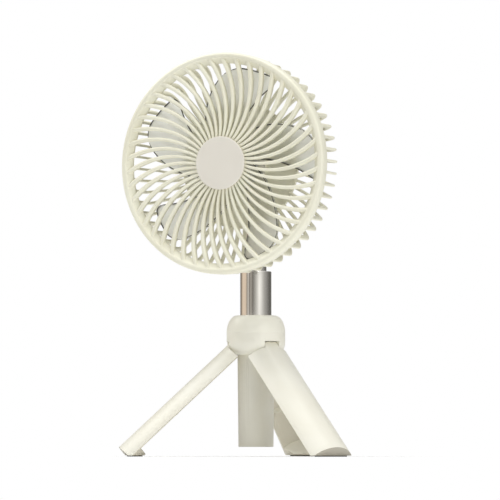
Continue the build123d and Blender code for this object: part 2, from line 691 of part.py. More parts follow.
# Rear grille: curved ribs that run over the back, round the corner and along the wall
INNER_CORNER_R = CAGE_CORNER_R - REAR_RIB_DEPTH
CORNER_S = CAGE_S + CAGE_CORNER_R
CORNER_FLAT_R = CAGE_WALL_R - CAGE_CORNER_R
REAR_RIB_RADII = (
    CAGE_PLATE_R - RIB_ROOT,
    REAR_RIB_WAIST_R,
    REAR_RIB_TURN_R,
    CORNER_FLAT_R,
    CAGE_WALL_R + RIB_ROOT,
)
REAR_STRIP = rib_strip(REAR_RIB_RADII, REAR_RIB_ANGLES, [REAR_RIB_W] * len(REAR_RIB_RADII))
BAND_S = RING_SEAT_S - CAGE_BAND_LENGTH
with BuildPart() as rear_grille:
    with BuildSketch(head_plane(CAGE_S - RIB_ROOT)):
        Circle(CAGE_PLATE_R + RIB_ROOT)
        with PolarLocations(0, REAR_RIBS):
            add(REAR_STRIP)
    extrude(amount=RING_SEAT_S + RIB_ROOT - CAGE_S)
    with BuildSketch(HEAD_SECTION):
        with BuildLine():
            Polyline(
                (CAGE_S, CORNER_FLAT_R),
                (CAGE_S, 0),
                (CAGE_S + CAGE_PLATE_T, 0),
                (CAGE_S + CAGE_PLATE_T, CAGE_PLATE_R),
                (CAGE_S + REAR_RIB_DEPTH, CAGE_PLATE_R),
                (CAGE_S + REAR_RIB_DEPTH, CORNER_FLAT_R),
            )
            RadiusArc(
                (CAGE_S + REAR_RIB_DEPTH, CORNER_FLAT_R),
                (CORNER_S, CAGE_WALL_R - REAR_RIB_DEPTH),
                INNER_CORNER_R,
            )
            Polyline(
                (CORNER_S, CAGE_WALL_R - REAR_RIB_DEPTH),
                (BAND_S, CAGE_WALL_R - REAR_RIB_DEPTH),
                (BAND_S, CAGE_WALL_R),
                (CORNER_S, CAGE_WALL_R),
            )
            RadiusArc((CORNER_S, CAGE_WALL_R), (CAGE_S, CORNER_FLAT_R), -CAGE_CORNER_R)
        make_face()
    revolve(axis=HEAD_AXIS, mode=Mode.INTERSECT)
    tube(head_plane(BAND_S), CAGE_WALL_R, CAGE_WALL_R - CAGE_BAND_T, CAGE_BAND_LENGTH)
    tube(head_plane(CAGE_S), MOUNT_TUBE_R + MOVING_GAP, 0, CAGE_PLATE_T, Mode.SUBTRACT)
    rods(head_plane(CAGE_S), POD_SCREW_POINTS, SCREW_R + FIT, CAGE_PLATE_T, Mode.SUBTRACT)

# Front grille: rounded ring, curved ribs and the boss that carries the cap
FRONT_RIB_RADII = (FRONT_BOSS_R - RIB_ROOT, FRONT_RIB_WAIST_R, RING_INNER_R + FRONT_RIB_SEAT)
FRONT_RIB_WIDTHS = (FRONT_RIB_INNER_W, FRONT_RIB_WAIST_W, FRONT_RIB_OUTER_W)
FRONT_STRIP = rib_strip(FRONT_RIB_RADII, FRONT_RIB_ANGLES, FRONT_RIB_WIDTHS)
SKIRT_R = RING_R - RING_SKIRT_T
LIP_R = RING_R - RING_LIP_R
LIP_S = RING_FRONT_S - RING_LIP_R
SLOPE_S = RING_FRONT_S - RING_LIP_RUN
LIP_ROLL_R = (RING_LIP_R**2 + RING_LIP_RUN**2) / (2 * RING_LIP_RUN)
with BuildPart() as front_grille:
    with BuildSketch(head_plane(RIB_BACK_S)):
        Circle(FRONT_BOSS_R)
        with PolarLocations(0, FRONT_RIBS):
            add(FRONT_STRIP)
    extrude(amount=FRONT_RIB_DEPTH)
    with BuildSketch(HEAD_SECTION):
        with BuildLine():
            Polyline(
                (SLOPE_S - RING_SLOPE_RUN, RING_INNER_R),
                (RING_SEAT_S, RING_INNER_R),
                (RING_SEAT_S, SKIRT_R),
                (RING_BACK_S, SKIRT_R),
                (RING_BACK_S, RING_R),
                (LIP_S, RING_R),
            )
            RadiusArc((LIP_S, RING_R), (RING_FRONT_S, LIP_R), RING_LIP_R)
            RadiusArc((RING_FRONT_S, LIP_R), (SLOPE_S, LIP_R - RING_LIP_R), LIP_ROLL_R)
            Line((SLOPE_S, LIP_R - RING_LIP_R), (SLOPE_S - RING_SLOPE_RUN, RING_INNER_R))
        make_face()
    revolve(axis=HEAD_AXIS)
    tube(head_plane(RIB_FRONT_S), FRONT_BOSS_R, 0, FRONT_RIB_SETBACK)
    tube(
        head_plane(RING_FRONT_S - CAP_PEG_LENGTH), CAP_PEG_R + FIT, 0, CAP_PEG_LENGTH, Mode.SUBTRACT
    )

with BuildPart() as front_cap:
    tube(head_plane(RING_FRONT_S), CAP_R, 0, CAP_T)
    chamfer(front_cap.faces().sort_by(Axis.Y)[0].edges(), CAP_EDGE)
    tube(head_plane(RING_FRONT_S - CAP_PEG_LENGTH), CAP_PEG_R, 0, CAP_PEG_LENGTH)

# Motor: mount, bearings, stator, windings and driver board
MOUNT_TUBE_S = BEARING_BACK_S
with BuildPart() as motor_mount:
    tube(head_plane(MOUNT_S), MOUNT_R, 0, MOUNT_T)
    tube(head_plane(MOUNT_TUBE_S), MOUNT_TUBE_R, 0, STATOR_END_S - MOUNT_TUBE_S)
    tube(head_plane(MOUNT_TUBE_S), SHAFT_R + MOVING_GAP, 0, STATOR_END_S - MOUNT_TUBE_S, Mode.SUBTRACT)
    tube(head_plane(MOUNT_TUBE_S), BEARING_R + FIT, 0, BEARING_W, Mode.SUBTRACT)
    tube(head_plane(STATOR_END_S - BEARING_W), BEARING_R + FIT, 0, BEARING_W, Mode.SUBTRACT)
    rods(head_plane(MOUNT_S), POD_SCREW_POINTS, SCREW_R + FIT, MOUNT_T, Mode.SUBTRACT)

with BuildPart() as motor_bearings:
    tube(head_plane(BEARING_BACK_S), BEARING_R, SHAFT_R + RUNNING, BEARING_W)
    tube(head_plane(STATOR_END_S - BEARING_W), BEARING_R, SHAFT_R + RUNNING, BEARING_W)

with BuildPart() as stator_core:
    with BuildSketch(head_plane(STATOR_S)):
        Circle(STATOR_YOKE_R)
        with PolarLocations(0, STATOR_TEETH):
            Rectangle(STATOR_R - SHOE_T / 2, TOOTH_W, align=(Align.MIN, Align.CENTER))
        shoe = sector(STATOR_R - SHOE_T, STATOR_R, SHOE_ANGLE / 2, 0)
        with PolarLocations(0, STATOR_TEETH):
            add(shoe)
        Circle(MOUNT_TUBE_R + FIT, mode=Mode.SUBTRACT)
    extrude(amount=STATOR_LENGTH)

WINDING_R = STATOR_YOKE_R + MOVING_GAP
WINDING_END_R = STATOR_R - SHOE_T - MOVING_GAP
with BuildPart() as stator_windings:
    for index in range(STATOR_TEETH):
        middle = head_plane(STATOR_S + STATOR_LENGTH / 2, 360 / STATOR_TEETH * index)
        inner = middle.origin + middle.x_dir * WINDING_R
        with BuildSketch(Plane(origin=inner, x_dir=middle.y_dir, z_dir=middle.x_dir)):
            Rectangle(TOOTH_W + 2 * WINDING_T, STATOR_LENGTH + 2 * WINDING_T)
            Rectangle(TOOTH_W + 2 * WINDING_GAP, STATOR_LENGTH + 2 * WINDING_GAP, mode=Mode.SUBTRACT)
        extrude(amount=WINDING_END_R - WINDING_R)

with BuildPart() as driver_board:
    tube(head_plane(CAGE_S - BOARD_T), DRIVER_BOARD_R, MOUNT_TUBE_R + MOVING_GAP, BOARD_T)

# Rotor: shaft, can, magnets and clip
with BuildPart() as motor_shaft:
    tube(head_plane(SHAFT_S), SHAFT_R, 0, NUT_S + NUT_T - SHAFT_S)

with BuildPart() as shaft_clip:
    tube(head_plane(SHAFT_S), CLIP_R, SHAFT_R + FIT, CLIP_T)

with BuildPart() as rotor_can:
    tube(head_plane(CAN_S), CAN_R, CAN_INNER_R, CAN_END_S - CAN_S)
    tube(head_plane(CAN_END_S), CAN_R, SHAFT_R + FIT, CAN_T)

with BuildPart() as rotor_magnets:
    with BuildSketch(head_plane(STATOR_S)):
        magnet = sector(MAGNET_R, MAGNET_R + MAGNET_T, MAGNET_ANGLE / 2, 0)
        with PolarLocations(0, MAGNETS):
            add(magnet)
    extrude(amount=STATOR_LENGTH)

# Impeller: five swept blades on a cup that grips the rotor can
BLADE_SPAN = 2 * BLADE_R
with BuildPart() as blade:
    for station, shift, pitch in (
        (0, BLADE_ROOT_SHIFT, BLADE_ROOT_PITCH),
        (BLADE_R + BLADE_CORNER_R, 0, BLADE_TIP_PITCH),
    ):
        chord = (0, math.cos(math.radians(pitch)), math.sin(math.radians(pitch)))
        with BuildSketch(Plane(origin=(station, shift, 0), x_dir=chord, z_dir=(1, 0, 0))):
            Rectangle(BLADE_SPAN, BLADE_T)
    loft(ruled=True)
    with BuildSketch(Plane.XY.offset(-BLADE_BACK)) as planform:
        with BuildLine():
            leading = ThreePointArc(
                polar(CUP_R - RIB_ROOT, BLADE_LEADING_ANGLES[0]),
                polar(BLADE_LEADING_R, BLADE_LEADING_ANGLES[1]),
                polar(BLADE_R, BLADE_LEADING_ANGLES[2]),
            )
            trailing = ThreePointArc(
                polar(BLADE_R, BLADE_TRAILING_ANGLES[2]),
                polar(BLADE_TRAILING_R, BLADE_TRAILING_ANGLES[1]),
                polar(CUP_R - RIB_ROOT, BLADE_TRAILING_ANGLES[0]),
            )
            ThreePointArc(leading @ 1, (BLADE_R, 0), trailing @ 0)
            Line(trailing @ 1, leading @ 0)
        make_face()
        fillet(planform.vertices().sort_by_distance((0, 0, 0))[-2:], BLADE_CORNER_R)
    extrude(amount=2 * BLADE_BACK, mode=Mode.INTERSECT)

with BuildPart(head_plane(BLADE_S, BLADE_PHASE)) as impeller:
    with PolarLocations(0, BLADES):
        add(blade.part)
    tube(head_plane(CAN_S + IMPELLER_SKIRT_GAP), CUP_R, 0, CUP_FRONT_S - CAN_S - IMPELLER_SKIRT_GAP)
    tube(head_plane(CUP_FRONT_S), IMPELLER_BOSS_R, 0, IMPELLER_BOSS_LENGTH)
    tube(head_plane(CAN_S), CUP_INNER_R, 0, CAN_FRONT_S - CAN_S, Mode.SUBTRACT)
    tube(head_plane(CAN_FRONT_S), SHAFT_R + FIT, 0, NUT_S - CAN_FRONT_S, Mode.SUBTRACT)

with BuildPart() as impeller_nut:
    with BuildSketch(head_plane(NUT_S)):
        RegularPolygon(NUT_ACROSS / 2, 6, major_radius=False)
        Circle(SHAFT_R + FIT, mode=Mode.SUBTRACT)
    extrude(amount=NUT_T)

PIECES = {
    "column": column,
    "column_cap": column_cap,
    "cell_holder": cell_holder,
    "battery_cell": battery_cell,
    "battery_contacts": battery_contacts,
    "hub_bowl": hub_bowl,
    "hub_dome": hub_dome,
    "hub_screws": hub_screws,
    "leg_pins": leg_pins,
    "charge_board": charge_board,
    "charge_socket": charge_socket,
    "push_switch": push_switch,
    "power_button": power_button,
    "outer_tube": outer_tube,
    "tube_bush": tube_bush,
    "mast_tube": mast_tube,
    "mast_stop": mast_stop,
    "neck_fork": neck_fork,
    "tilt_pin": tilt_pin,
    "tilt_lug": tilt_lug,
    "tilt_washers": tilt_washers,
    "lug_screws": lug_screws,
    "motor_pod": motor_pod,
    "pod_screws": pod_screws,
    "rear_grille": rear_grille,
    "front_grille": front_grille,
    "front_cap": front_cap,
    "motor_mount": motor_mount,
    "motor_bearings": motor_bearings,
    "stator_core": stator_core,
    "stator_windings": stator_windings,
    "driver_board": driver_board,
    "motor_shaft": motor_shaft,
    "shaft_clip": shaft_clip,
    "rotor_can": rotor_can,
    "rotor_magnets": rotor_magnets,
    "impeller": impeller,
    "impeller_nut": impeller_nut,
}

# Legs: curved shells with a hinge tongue, an inner saddle and a foot, and their rubber pads
WEDGE_APEX = LEG_EDGE_GAP / math.sin(SPREAD)
WEDGE_REACH = LEG_R / math.cos(SPREAD)
TONGUE_INNER = COLUMN_TOP_R + MOVING_GAP - HINGE_R
TOE_OUT = (LEG_LENGTH * math.cos(OPEN) - HINGE_Z + PAD_T) / math.sin(OPEN)
TOE_REACH = HINGE_R + LEG_LENGTH * math.sin(OPEN) + TOE_OUT * math.cos(OPEN)
HEEL_OUT = FOOT_INNER - HINGE_R
HEEL_DOWN = (HINGE_Z - PAD_T + HEEL_OUT * math.sin(OPEN)) / math.cos(OPEN)
HEEL_REACH = HINGE_R + HEEL_DOWN * math.sin(OPEN) + HEEL_OUT * math.cos(OPEN)
HEEL_HALF_W = (FOOT_INNER - WEDGE_APEX) * math.tan(SPREAD)
TOE_HALF_W = math.sqrt(LEG_R**2 - (TOE_OUT + HINGE_R) ** 2)


def wedge(mode):
    """Keep the third of the sketch that one leg may fill when the legs are folded."""
    with BuildLine() as outline:
        Polyline(
            (0, WEDGE_APEX - HINGE_R),
            (WEDGE_REACH * math.sin(SPREAD), WEDGE_APEX - HINGE_R + WEDGE_REACH * math.cos(SPREAD)),
            (-WEDGE_REACH * math.sin(SPREAD), WEDGE_APEX - HINGE_R + WEDGE_REACH * math.cos(SPREAD)),
            close=True,
        )
    make_face(outline.edges(), mode=mode)


for name, azimuth in LEG_AZIMUTHS.items():
    with BuildPart() as leg:
        with BuildSketch(leg_side_plane(azimuth)):
            Circle(KNUCKLE_R)
            with BuildLine():
                Polyline(
                    (LEG_R - HINGE_R, -TONGUE_TOP),
                    (LEG_R - HINGE_R, TONGUE_LENGTH + LEG_SHOULDER),
                    (LEG_INNER_R - HINGE_R, TONGUE_LENGTH + LEG_SHOULDER),
                    (TONGUE_INNER, TONGUE_LENGTH),
                    (TONGUE_INNER, TONGUE_TAPER),
                    (-KNUCKLE_R, 0),
                    (0, -KNUCKLE_R),
                    close=True,
                )
            make_face()
        extrude(amount=TONGUE_W / 2, both=True)
        with BuildSketch(leg_plane(azimuth, -KNUCKLE_R)):
            with Locations((0, -HINGE_R)):
                Circle(LEG_R)
        extrude(amount=LEG_LENGTH, mode=Mode.INTERSECT)
        with BuildSketch(leg_plane(azimuth, LEG_SHOULDER)):
            with Locations((0, -HINGE_R)):
                Circle(LEG_R)
                Circle(LEG_INNER_R, mode=Mode.SUBTRACT)
            wedge(Mode.INTERSECT)
        extrude(amount=LEG_LENGTH - LEG_SHOULDER)
        with BuildSketch(leg_plane(azimuth, LEG_LENGTH - FOOT_LENGTH)):
            with Locations((0, -HINGE_R)):
                Circle(LEG_R)
            wedge(Mode.INTERSECT)
            with Locations((0, FOOT_INNER - HINGE_R)):
                Rectangle(2 * LEG_R, LEG_R, align=(Align.CENTER, Align.MAX), mode=Mode.SUBTRACT)
        extrude(amount=FOOT_LENGTH)
        with BuildSketch(leg_plane(azimuth, SADDLE_FROM_PIN)):
            with Locations((0, -HINGE_R)):
                add(sector(COLUMN_TOP_R + MOVING_GAP, LEG_R - LEG_WALL / 2, SADDLE_HALF_ANGLE, 90))
        extrude(amount=SADDLE_T)
        with BuildSketch(leg_side_plane(azimuth)):
            Circle(HINGE_PIN_R + RUNNING)
        extrude(amount=TONGUE_W / 2, both=True, mode=Mode.SUBTRACT)
        split(bisect_by=Plane.XY.offset(PAD_T), keep=Keep.TOP)
    PIECES[f"leg_{name}"] = leg

    with BuildPart() as foot_pad:
        with BuildSketch(Plane.XY) as pad:
            turn = Plane(origin=(0, POLE_Y, 0)).rotated((0, 0, azimuth))
            corners = []
            for reach, half_w in (
                (HEEL_REACH + PAD_INSET, HEEL_HALF_W - PAD_INSET),
                (TOE_REACH - PAD_INSET, TOE_HALF_W - PAD_INSET),
            ):
                corners.append([turn.from_local_coords((reach, side * half_w, 0)) for side in (-1, 1)])
            with BuildLine():
                Polyline(corners[0][0], corners[1][0], corners[1][1], corners[0][1], close=True)
            make_face()
            fillet(pad.vertices(), PAD_INSET)
        extrude(amount=PAD_T)
    PIECES[f"foot_pad_{name}"] = foot_pad

for name, piece in PIECES.items():
    piece.part.label = name
    export_step(piece.part, f"parts/{name}.step")
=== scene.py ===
# %% [markdown]
# # A tripod fan in the studio
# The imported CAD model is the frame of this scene: every piece is already there at its real size.
# What is missing is what a mould and a finish give the real fan: rounded ribs, soft edges, satin
# plastic, bright plated tube. This lesson adds them piece by piece and then sets up the light and
# the camera. Lengths are in metres, and `MM` stands for a millimetre.

# %% Load the frame
import json
import math
from contextlib import contextmanager

import bpy
from mathutils import Matrix, Vector

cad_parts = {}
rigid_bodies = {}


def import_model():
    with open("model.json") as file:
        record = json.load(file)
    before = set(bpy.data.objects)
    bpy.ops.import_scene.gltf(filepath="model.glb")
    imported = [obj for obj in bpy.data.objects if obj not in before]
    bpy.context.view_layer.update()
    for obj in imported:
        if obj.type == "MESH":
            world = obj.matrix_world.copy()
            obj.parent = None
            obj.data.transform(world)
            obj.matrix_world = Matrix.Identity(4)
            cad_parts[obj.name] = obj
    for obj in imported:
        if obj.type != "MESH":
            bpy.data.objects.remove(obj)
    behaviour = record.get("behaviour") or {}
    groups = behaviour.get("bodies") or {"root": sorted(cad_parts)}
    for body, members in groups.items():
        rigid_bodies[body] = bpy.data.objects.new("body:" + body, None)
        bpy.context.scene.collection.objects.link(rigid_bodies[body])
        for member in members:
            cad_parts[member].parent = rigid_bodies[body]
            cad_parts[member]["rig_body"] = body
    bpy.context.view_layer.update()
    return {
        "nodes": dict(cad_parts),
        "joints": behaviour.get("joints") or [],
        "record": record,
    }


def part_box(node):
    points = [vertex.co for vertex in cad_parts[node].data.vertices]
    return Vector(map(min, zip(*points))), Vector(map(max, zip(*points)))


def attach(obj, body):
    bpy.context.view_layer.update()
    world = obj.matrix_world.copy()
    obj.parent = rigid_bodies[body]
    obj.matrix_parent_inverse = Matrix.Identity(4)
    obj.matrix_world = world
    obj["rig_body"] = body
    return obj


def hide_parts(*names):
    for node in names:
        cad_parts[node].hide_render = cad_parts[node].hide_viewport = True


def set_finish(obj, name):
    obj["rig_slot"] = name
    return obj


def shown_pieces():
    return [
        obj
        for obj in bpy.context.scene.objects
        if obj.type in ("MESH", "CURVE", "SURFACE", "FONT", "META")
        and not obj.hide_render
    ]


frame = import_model()
MM = 0.001
NODES = frame["nodes"]
RECORD = frame["record"]
SLOT_OF = {part["node"]: part["material_slot"] for part in RECORD["subparts"]}

# %% [markdown]
# ## Where things are
# The fan's own axis and the pole's axis cross in the tilt joint, so that one point places nearly
# everything. Pieces of the head are described by a radius, an angle seen from the front, and a
# depth forward of the pole. The sizes of the big pieces are read from the frame, so that the looks
# follow the model if it changes.

# %% Read the axes and the main sizes
JOINTS = {joint["name"]: joint for joint in frame["joints"]}
HEAD = Vector(JOINTS["head_tilt"]["pos_m"])


def head_point(radius, angle, depth):
    """Point of the head at a radius, an angle in radians and a depth forward of the pole."""
    return Vector((HEAD.x + radius * math.cos(angle), HEAD.y - depth, HEAD.z + radius * math.sin(angle)))


def pole_point(radius, height):
    """Point beside the pole's axis, at a height above the floor."""
    return Vector((HEAD.x + radius, HEAD.y, height))


def depths(node):
    """Rear and front depth of a node of the head."""
    low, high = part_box(node)
    return HEAD.y - high.y, HEAD.y - low.y


def half_width(node):
    """Half of a node's width, which is the radius of a round one."""
    low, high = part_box(node)
    return (high.x - low.x) / 2


RING_BACK, RING_FRONT = depths("front_grille")
RING_R = half_width("front_grille")
CAGE_BACK, CAGE_SEAT = depths("rear_grille")
WALL_R = half_width("rear_grille")
CAP_BACK, CAP_FRONT = depths("front_cap")
CAP_R = half_width("front_cap")
cage_depth = RING_FRONT - CAGE_BACK
print("ring radius in mm", round(RING_R / MM, 2), "cage depth in mm", round(cage_depth / MM, 2))

# %% [markdown]
# ## Tools for modelling
# Blender's operators work on whatever is selected, so each helper first selects one piece alone.
# `spun` turns an outline into a round piece, as on a lathe, `bar` draws a rod along a line, and
# `softened` copies a CAD piece and rounds its edges as a mould would. All of them leave the object
# at the origin with its place in its mesh.

# %% Small helpers that act on one piece
MERGE = 0.002 * MM


def only(piece):
    """Leave one piece selected and active."""
    bpy.ops.object.select_all(action="DESELECT")
    piece.select_set(True)
    bpy.context.view_layer.objects.active = piece


def named(name):
    """Give the object that was just added its name."""
    piece = bpy.context.object
    piece.name = name
    piece.data.name = name
    return piece


@contextmanager
def edit_mode(piece):
    """Work on one piece in edit mode, with all of it selected."""
    only(piece)
    bpy.ops.object.mode_set(mode="EDIT")
    bpy.ops.mesh.select_all(action="SELECT")
    yield
    bpy.ops.object.mode_set(mode="OBJECT")


def apply(piece, kind, **settings):
    """Add a modifier with its settings and apply it."""
    only(piece)
    modifier = piece.modifiers.new(kind, kind)
    for key, value in settings.items():
        setattr(modifier, key, value)
    bpy.ops.object.modifier_apply(modifier=modifier.name)


def smooth(piece, angle=40):
    """Shade smoothly, and keep edges sharper than the angle."""
    only(piece)
    bpy.ops.object.shade_smooth_by_angle(angle=math.radians(angle))


def round_edges(piece, width, segments=2, angle=32):
    """Round over every edge that is sharper than the angle."""
    limit = math.radians(angle)
    apply(piece, "BEVEL", width=width, segments=segments, limit_method="ANGLE", angle_limit=limit)
    smooth(piece)


def combine(piece, tool, operation):
    """Join a tool to a piece, or cut the piece with it, and delete the tool."""
    apply(piece, "BOOLEAN", object=tool, operation=operation, solver="MANIFOLD")
    bpy.data.objects.remove(tool)


# %% Helpers that make round pieces and rods
def spun(name, outline, place, steps=128):
    """Turn a closed outline of (radius, along) points about the axis that place() gives."""
    bpy.ops.object.select_all(action="DESELECT")
    bpy.ops.mesh.primitive_circle_add(vertices=len(outline))
    piece = named(name)
    for vertex, (radius, along) in zip(piece.data.vertices, outline):
        vertex.co = place(radius, along)
    centre = place(0, 0)
    with edit_mode(piece):
        bpy.ops.mesh.spin(steps=steps, angle=2 * math.pi, center=centre, axis=place(0, 1) - centre)
        bpy.ops.mesh.select_all(action="SELECT")
        bpy.ops.mesh.remove_doubles(threshold=MERGE)
        bpy.ops.mesh.delete_loose()
        bpy.ops.mesh.select_all(action="SELECT")
        bpy.ops.mesh.normals_make_consistent(inside=False)
    return piece


def head_turned(radius, depth):
    """Place for outlines that turn about the fan's axis."""
    return head_point(radius, 0, depth)


def bar(name, sides, rings, place):
    """Extrude a circle into a rod of unit size, then lay each point with place(across, deep, along)."""
    bpy.ops.object.select_all(action="DESELECT")
    bpy.ops.mesh.primitive_circle_add(vertices=sides, radius=1)
    piece = named(name)
    with edit_mode(piece):
        for _ in range(rings):
            bpy.ops.mesh.extrude_edges_move(TRANSFORM_OT_translate={"value": (0, 0, 1 / rings)})
        bpy.ops.mesh.select_all(action="SELECT")
        bpy.ops.mesh.fill_holes(sides=0)
    for vertex in piece.data.vertices:
        vertex.co = place(vertex.co.x, vertex.co.y, vertex.co.z)
    with edit_mode(piece):
        bpy.ops.mesh.normals_make_consistent(inside=False)
    return piece


def ring_of(piece, count):
    """Copy a piece round the fan's axis and join the copies into it."""
    copies = []
    for index in range(1, count):
        turn = Matrix.Rotation(2 * math.pi * index / count, 4, "Y")
        copy = piece.copy()
        copy.data = piece.data.copy()
        copy.data.transform(Matrix.Translation(HEAD) @ turn @ Matrix.Translation(-HEAD))
        bpy.context.collection.objects.link(copy)
        copies.append(copy)
    only(piece)
    for copy in copies:
        copy.select_set(True)
    bpy.ops.object.join()
    return piece


# %% A helper that softens a CAD piece, and one that puts a new piece in a node's place
FLAT = math.radians(0.4)


def stand_for(piece, node):
    """Let a piece stand for a CAD node, on the same body and with the same finish."""
    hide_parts(node)
    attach(piece, NODES[node]["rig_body"])
    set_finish(piece, SLOT_OF[node])
    return piece


def softened(node, edge):
    """Copy a CAD node, merge its loose triangles into faces and round its edges."""
    piece = bpy.data.objects.new(node + "_moulded", NODES[node].data.copy())
    piece.data.materials.clear()
    bpy.context.collection.objects.link(piece)
    with edit_mode(piece):
        bpy.ops.mesh.remove_doubles(threshold=MERGE)
        bpy.ops.mesh.dissolve_limited(angle_limit=FLAT)
    round_edges(piece, edge)
    return stand_for(piece, node)


# %% [markdown]
# ## Finishes
# A finish is a small graph of shader nodes. To keep the maths readable, `Wire` wraps a node's
# output and understands plus, minus and times, and `Finish.node` is the one place where nodes are
# made. Colours are written as they look on screen, from 0 to 255, and `tint` turns them into the
# linear values that the shader wants.


# %% A finish and its wires
def tint(red, green, blue):
    """Linear colour of an on-screen colour."""
    linear = []
    for part in (red / 255, green / 255, blue / 255):
        linear.append(part / 12.92 if part <= 0.04045 else ((part + 0.055) / 1.055) ** 2.4)
    return (*linear, 1.0)


class Wire:
    """The output of a node, on which sums can be written as plain expressions."""

    def __init__(self, finish, socket):
        self.finish = finish
        self.socket = socket

    def __add__(self, other):
        return self.finish.maths("ADD", self, other)

    def __radd__(self, other):
        return self.finish.maths("ADD", other, self)

    def __sub__(self, other):
        return self.finish.maths("SUBTRACT", self, other)

    def __rsub__(self, other):
        return self.finish.maths("SUBTRACT", other, self)

    def __mul__(self, other):
        return self.finish.maths("MULTIPLY", self, other)

    def __rmul__(self, other):
        return self.finish.maths("MULTIPLY", other, self)


class Finish:
    """A material, or the world, with its graph of nodes."""

    def __init__(self, owner):
        self.owner = owner
        owner.use_nodes = True
        self.tree = owner.node_tree
        self.tree.nodes.clear()

    def node(self, kind, sockets, output=0, **settings):
        """Add a node, make its settings, then fill or link its sockets."""
        made = self.tree.nodes.new(kind)
        for place, colour in settings.pop("stops", ()):
            made.color_ramp.elements.new(place).color = colour
        for key, value in settings.items():
            setattr(made, key, value)
        for key, value in sockets.items():
            if isinstance(value, Wire):
                self.tree.links.new(value.socket, made.inputs[key])
            else:
                made.inputs[key].default_value = value
        return Wire(self, made.outputs[output]) if made.outputs else None

    def maths(self, operation, first, second):
        """Work out one sum on values."""
        return self.node("ShaderNodeMath", {0: first, 1: second}, operation=operation)

    def mix(self, share, first, second):
        """Mix two colours."""
        return self.node("ShaderNodeMix", {0: share, 6: first, 7: second}, output=2, data_type="RGBA")

    def place(self, stretch=(1, 1, 1)):
        """Object coordinates, squeezed along each axis."""
        where = self.node("ShaderNodeTexCoord", {}, output="Object")
        return self.node("ShaderNodeMapping", {"Vector": where, "Scale": stretch})

    def noise(self, size, detail=2.0, stretch=(1, 1, 1)):
        """Soft noise whose patches are about as large as the size."""
        sockets = {"Vector": self.place(stretch), "Scale": 1 / size, "Detail": detail}
        return self.node("ShaderNodeTexNoise", sockets)

    def limits(self, value, low, high):
        """Spread the part of a value between two limits over 0 to 1."""
        sockets = {"Value": value, "From Min": low, "From Max": high}
        return self.node("ShaderNodeMapRange", sockets, interpolation_type="SMOOTHSTEP")

    def bump(self, height, depth):
        """Normal of a surface that rises by the depth where the height is 1."""
        return self.node("ShaderNodeBump", {"Height": height, "Distance": depth, "Strength": 1.0})

    def surface(self, **sockets):
        """Close the graph with the main shader. Underscores in the names stand for spaces."""
        filled = {key.replace("_", " "): value for key, value in sockets.items()}
        shader = self.node("ShaderNodeBsdfPrincipled", filled)
        self.node("ShaderNodeOutputMaterial", {"Surface": shader})
        return self.owner


def finish(name):
    """A new material's empty graph."""
    return Finish(bpy.data.materials.new(name))


# %% [markdown]
# ### Moulded plastic
# The casing is an injection moulding in a warm cream with a satin face. Real mouldings are never
# one flat colour: the tone drifts a little over centimetres, and the mould's fine spark texture
# breaks up the gloss. The grilles are the same plastic, but thinner, so light goes round in them
# and they look a little yellower.


# %% Cream casing, grille and cap plastics
DRIFT_SIZE = 45 * MM
GLOSS_SIZE = 9 * MM
SPARK_SIZE = 0.45 * MM


def moulded(name, light, deep, roughness, grain=0.0006 * MM, clear=0.0):
    """Satin plastic with a drifting tone and a fine mould texture, which may be partly clear."""
    made = finish(name)
    drift = made.noise(DRIFT_SIZE, 3.0)
    spark = made.noise(SPARK_SIZE, 2.0)
    gloss = made.noise(GLOSS_SIZE, 3.0)
    return made.surface(
        Base_Color=made.mix(made.limits(drift, 0.3, 0.7), light, deep),
        Roughness=roughness + 0.12 * (gloss - 0.5) + 0.10 * (spark - 0.5),
        Normal=made.bump(spark, grain),
        Transmission_Weight=clear,
        IOR=1.47,
    )


CASING = moulded("cream_casing", tint(244, 242, 229), tint(239, 236, 221), 0.38)
GRILLE = moulded("cream_grille", tint(240, 238, 219), tint(235, 232, 211), 0.42)
CAP = moulded("cap_disc", tint(233, 228, 217), tint(229, 224, 212), 0.45)
DARK_PLASTIC = moulded("black_plastic", tint(38, 38, 38), tint(30, 30, 31), 0.5)
RUBBER = moulded("foot_rubber", tint(70, 69, 66), tint(56, 55, 53), 0.8, grain=0.05 * MM)

# %% [markdown]
# ### Impeller plastic
# The blades are milky and let light through, so they look cool against the white room and warm
# against the cream ribs behind them. Their thin edges look nearly black, because clear plastic
# carries the light of its edge away; that darkness is painted shade, a dark grey colour on the edge
# faces. The flat of a blade and its painted dark edge are therefore two materials on one piece.

# %% Blade and its painted-shade edge
BLADE = moulded("blade_flat", tint(248, 248, 242), tint(243, 243, 236), 0.45, clear=0.85)
# Painted shade: the edge colour is dark grey, standing in for the dark look of clear plastic's thin
# edges.
BLADE_EDGE_PAINTED_SHADE = moulded("blade_edge_painted_shade", tint(84, 83, 78), tint(68, 67, 64), 0.4)

# %% [markdown]
# ### Metals
# The pole is plated tube: almost a mirror, with faint lines along it from drawing. Screws and pins
# are zinc plated, with a duller, patchy sheen. Copper windings show their turns as fine ridges.


# %% Plated tube, zinc, magnets and copper
def metal(name, light, deep, roughness, stretch, size, depth):
    """Metal whose tone and gloss vary along its grain."""
    made = finish(name)
    grain = made.noise(size, 3.0, stretch)
    patch = made.noise(14 * MM, 2.0)
    return made.surface(
        Base_Color=made.mix(patch, light, deep),
        Metallic=1.0,
        Roughness=roughness + 0.35 * roughness * (grain - 0.5) + 0.3 * roughness * (patch - 0.5),
        Normal=made.bump(grain, depth),
    )


WIRE_SCALE = 420.0


def wound_copper(name):
    """Enamelled wire, with the turns as fine ridges."""
    made = finish(name)
    sockets = {"Vector": made.place(), "Scale": WIRE_SCALE, "Distortion": 0.6}
    turns = made.node("ShaderNodeTexWave", sockets, bands_direction="DIAGONAL")
    return made.surface(
        Base_Color=made.mix(turns, tint(120, 58, 26), tint(206, 124, 66)),
        Metallic=1.0,
        Roughness=0.28 + 0.1 * turns,
        Normal=made.bump(turns, 0.08 * MM),
    )


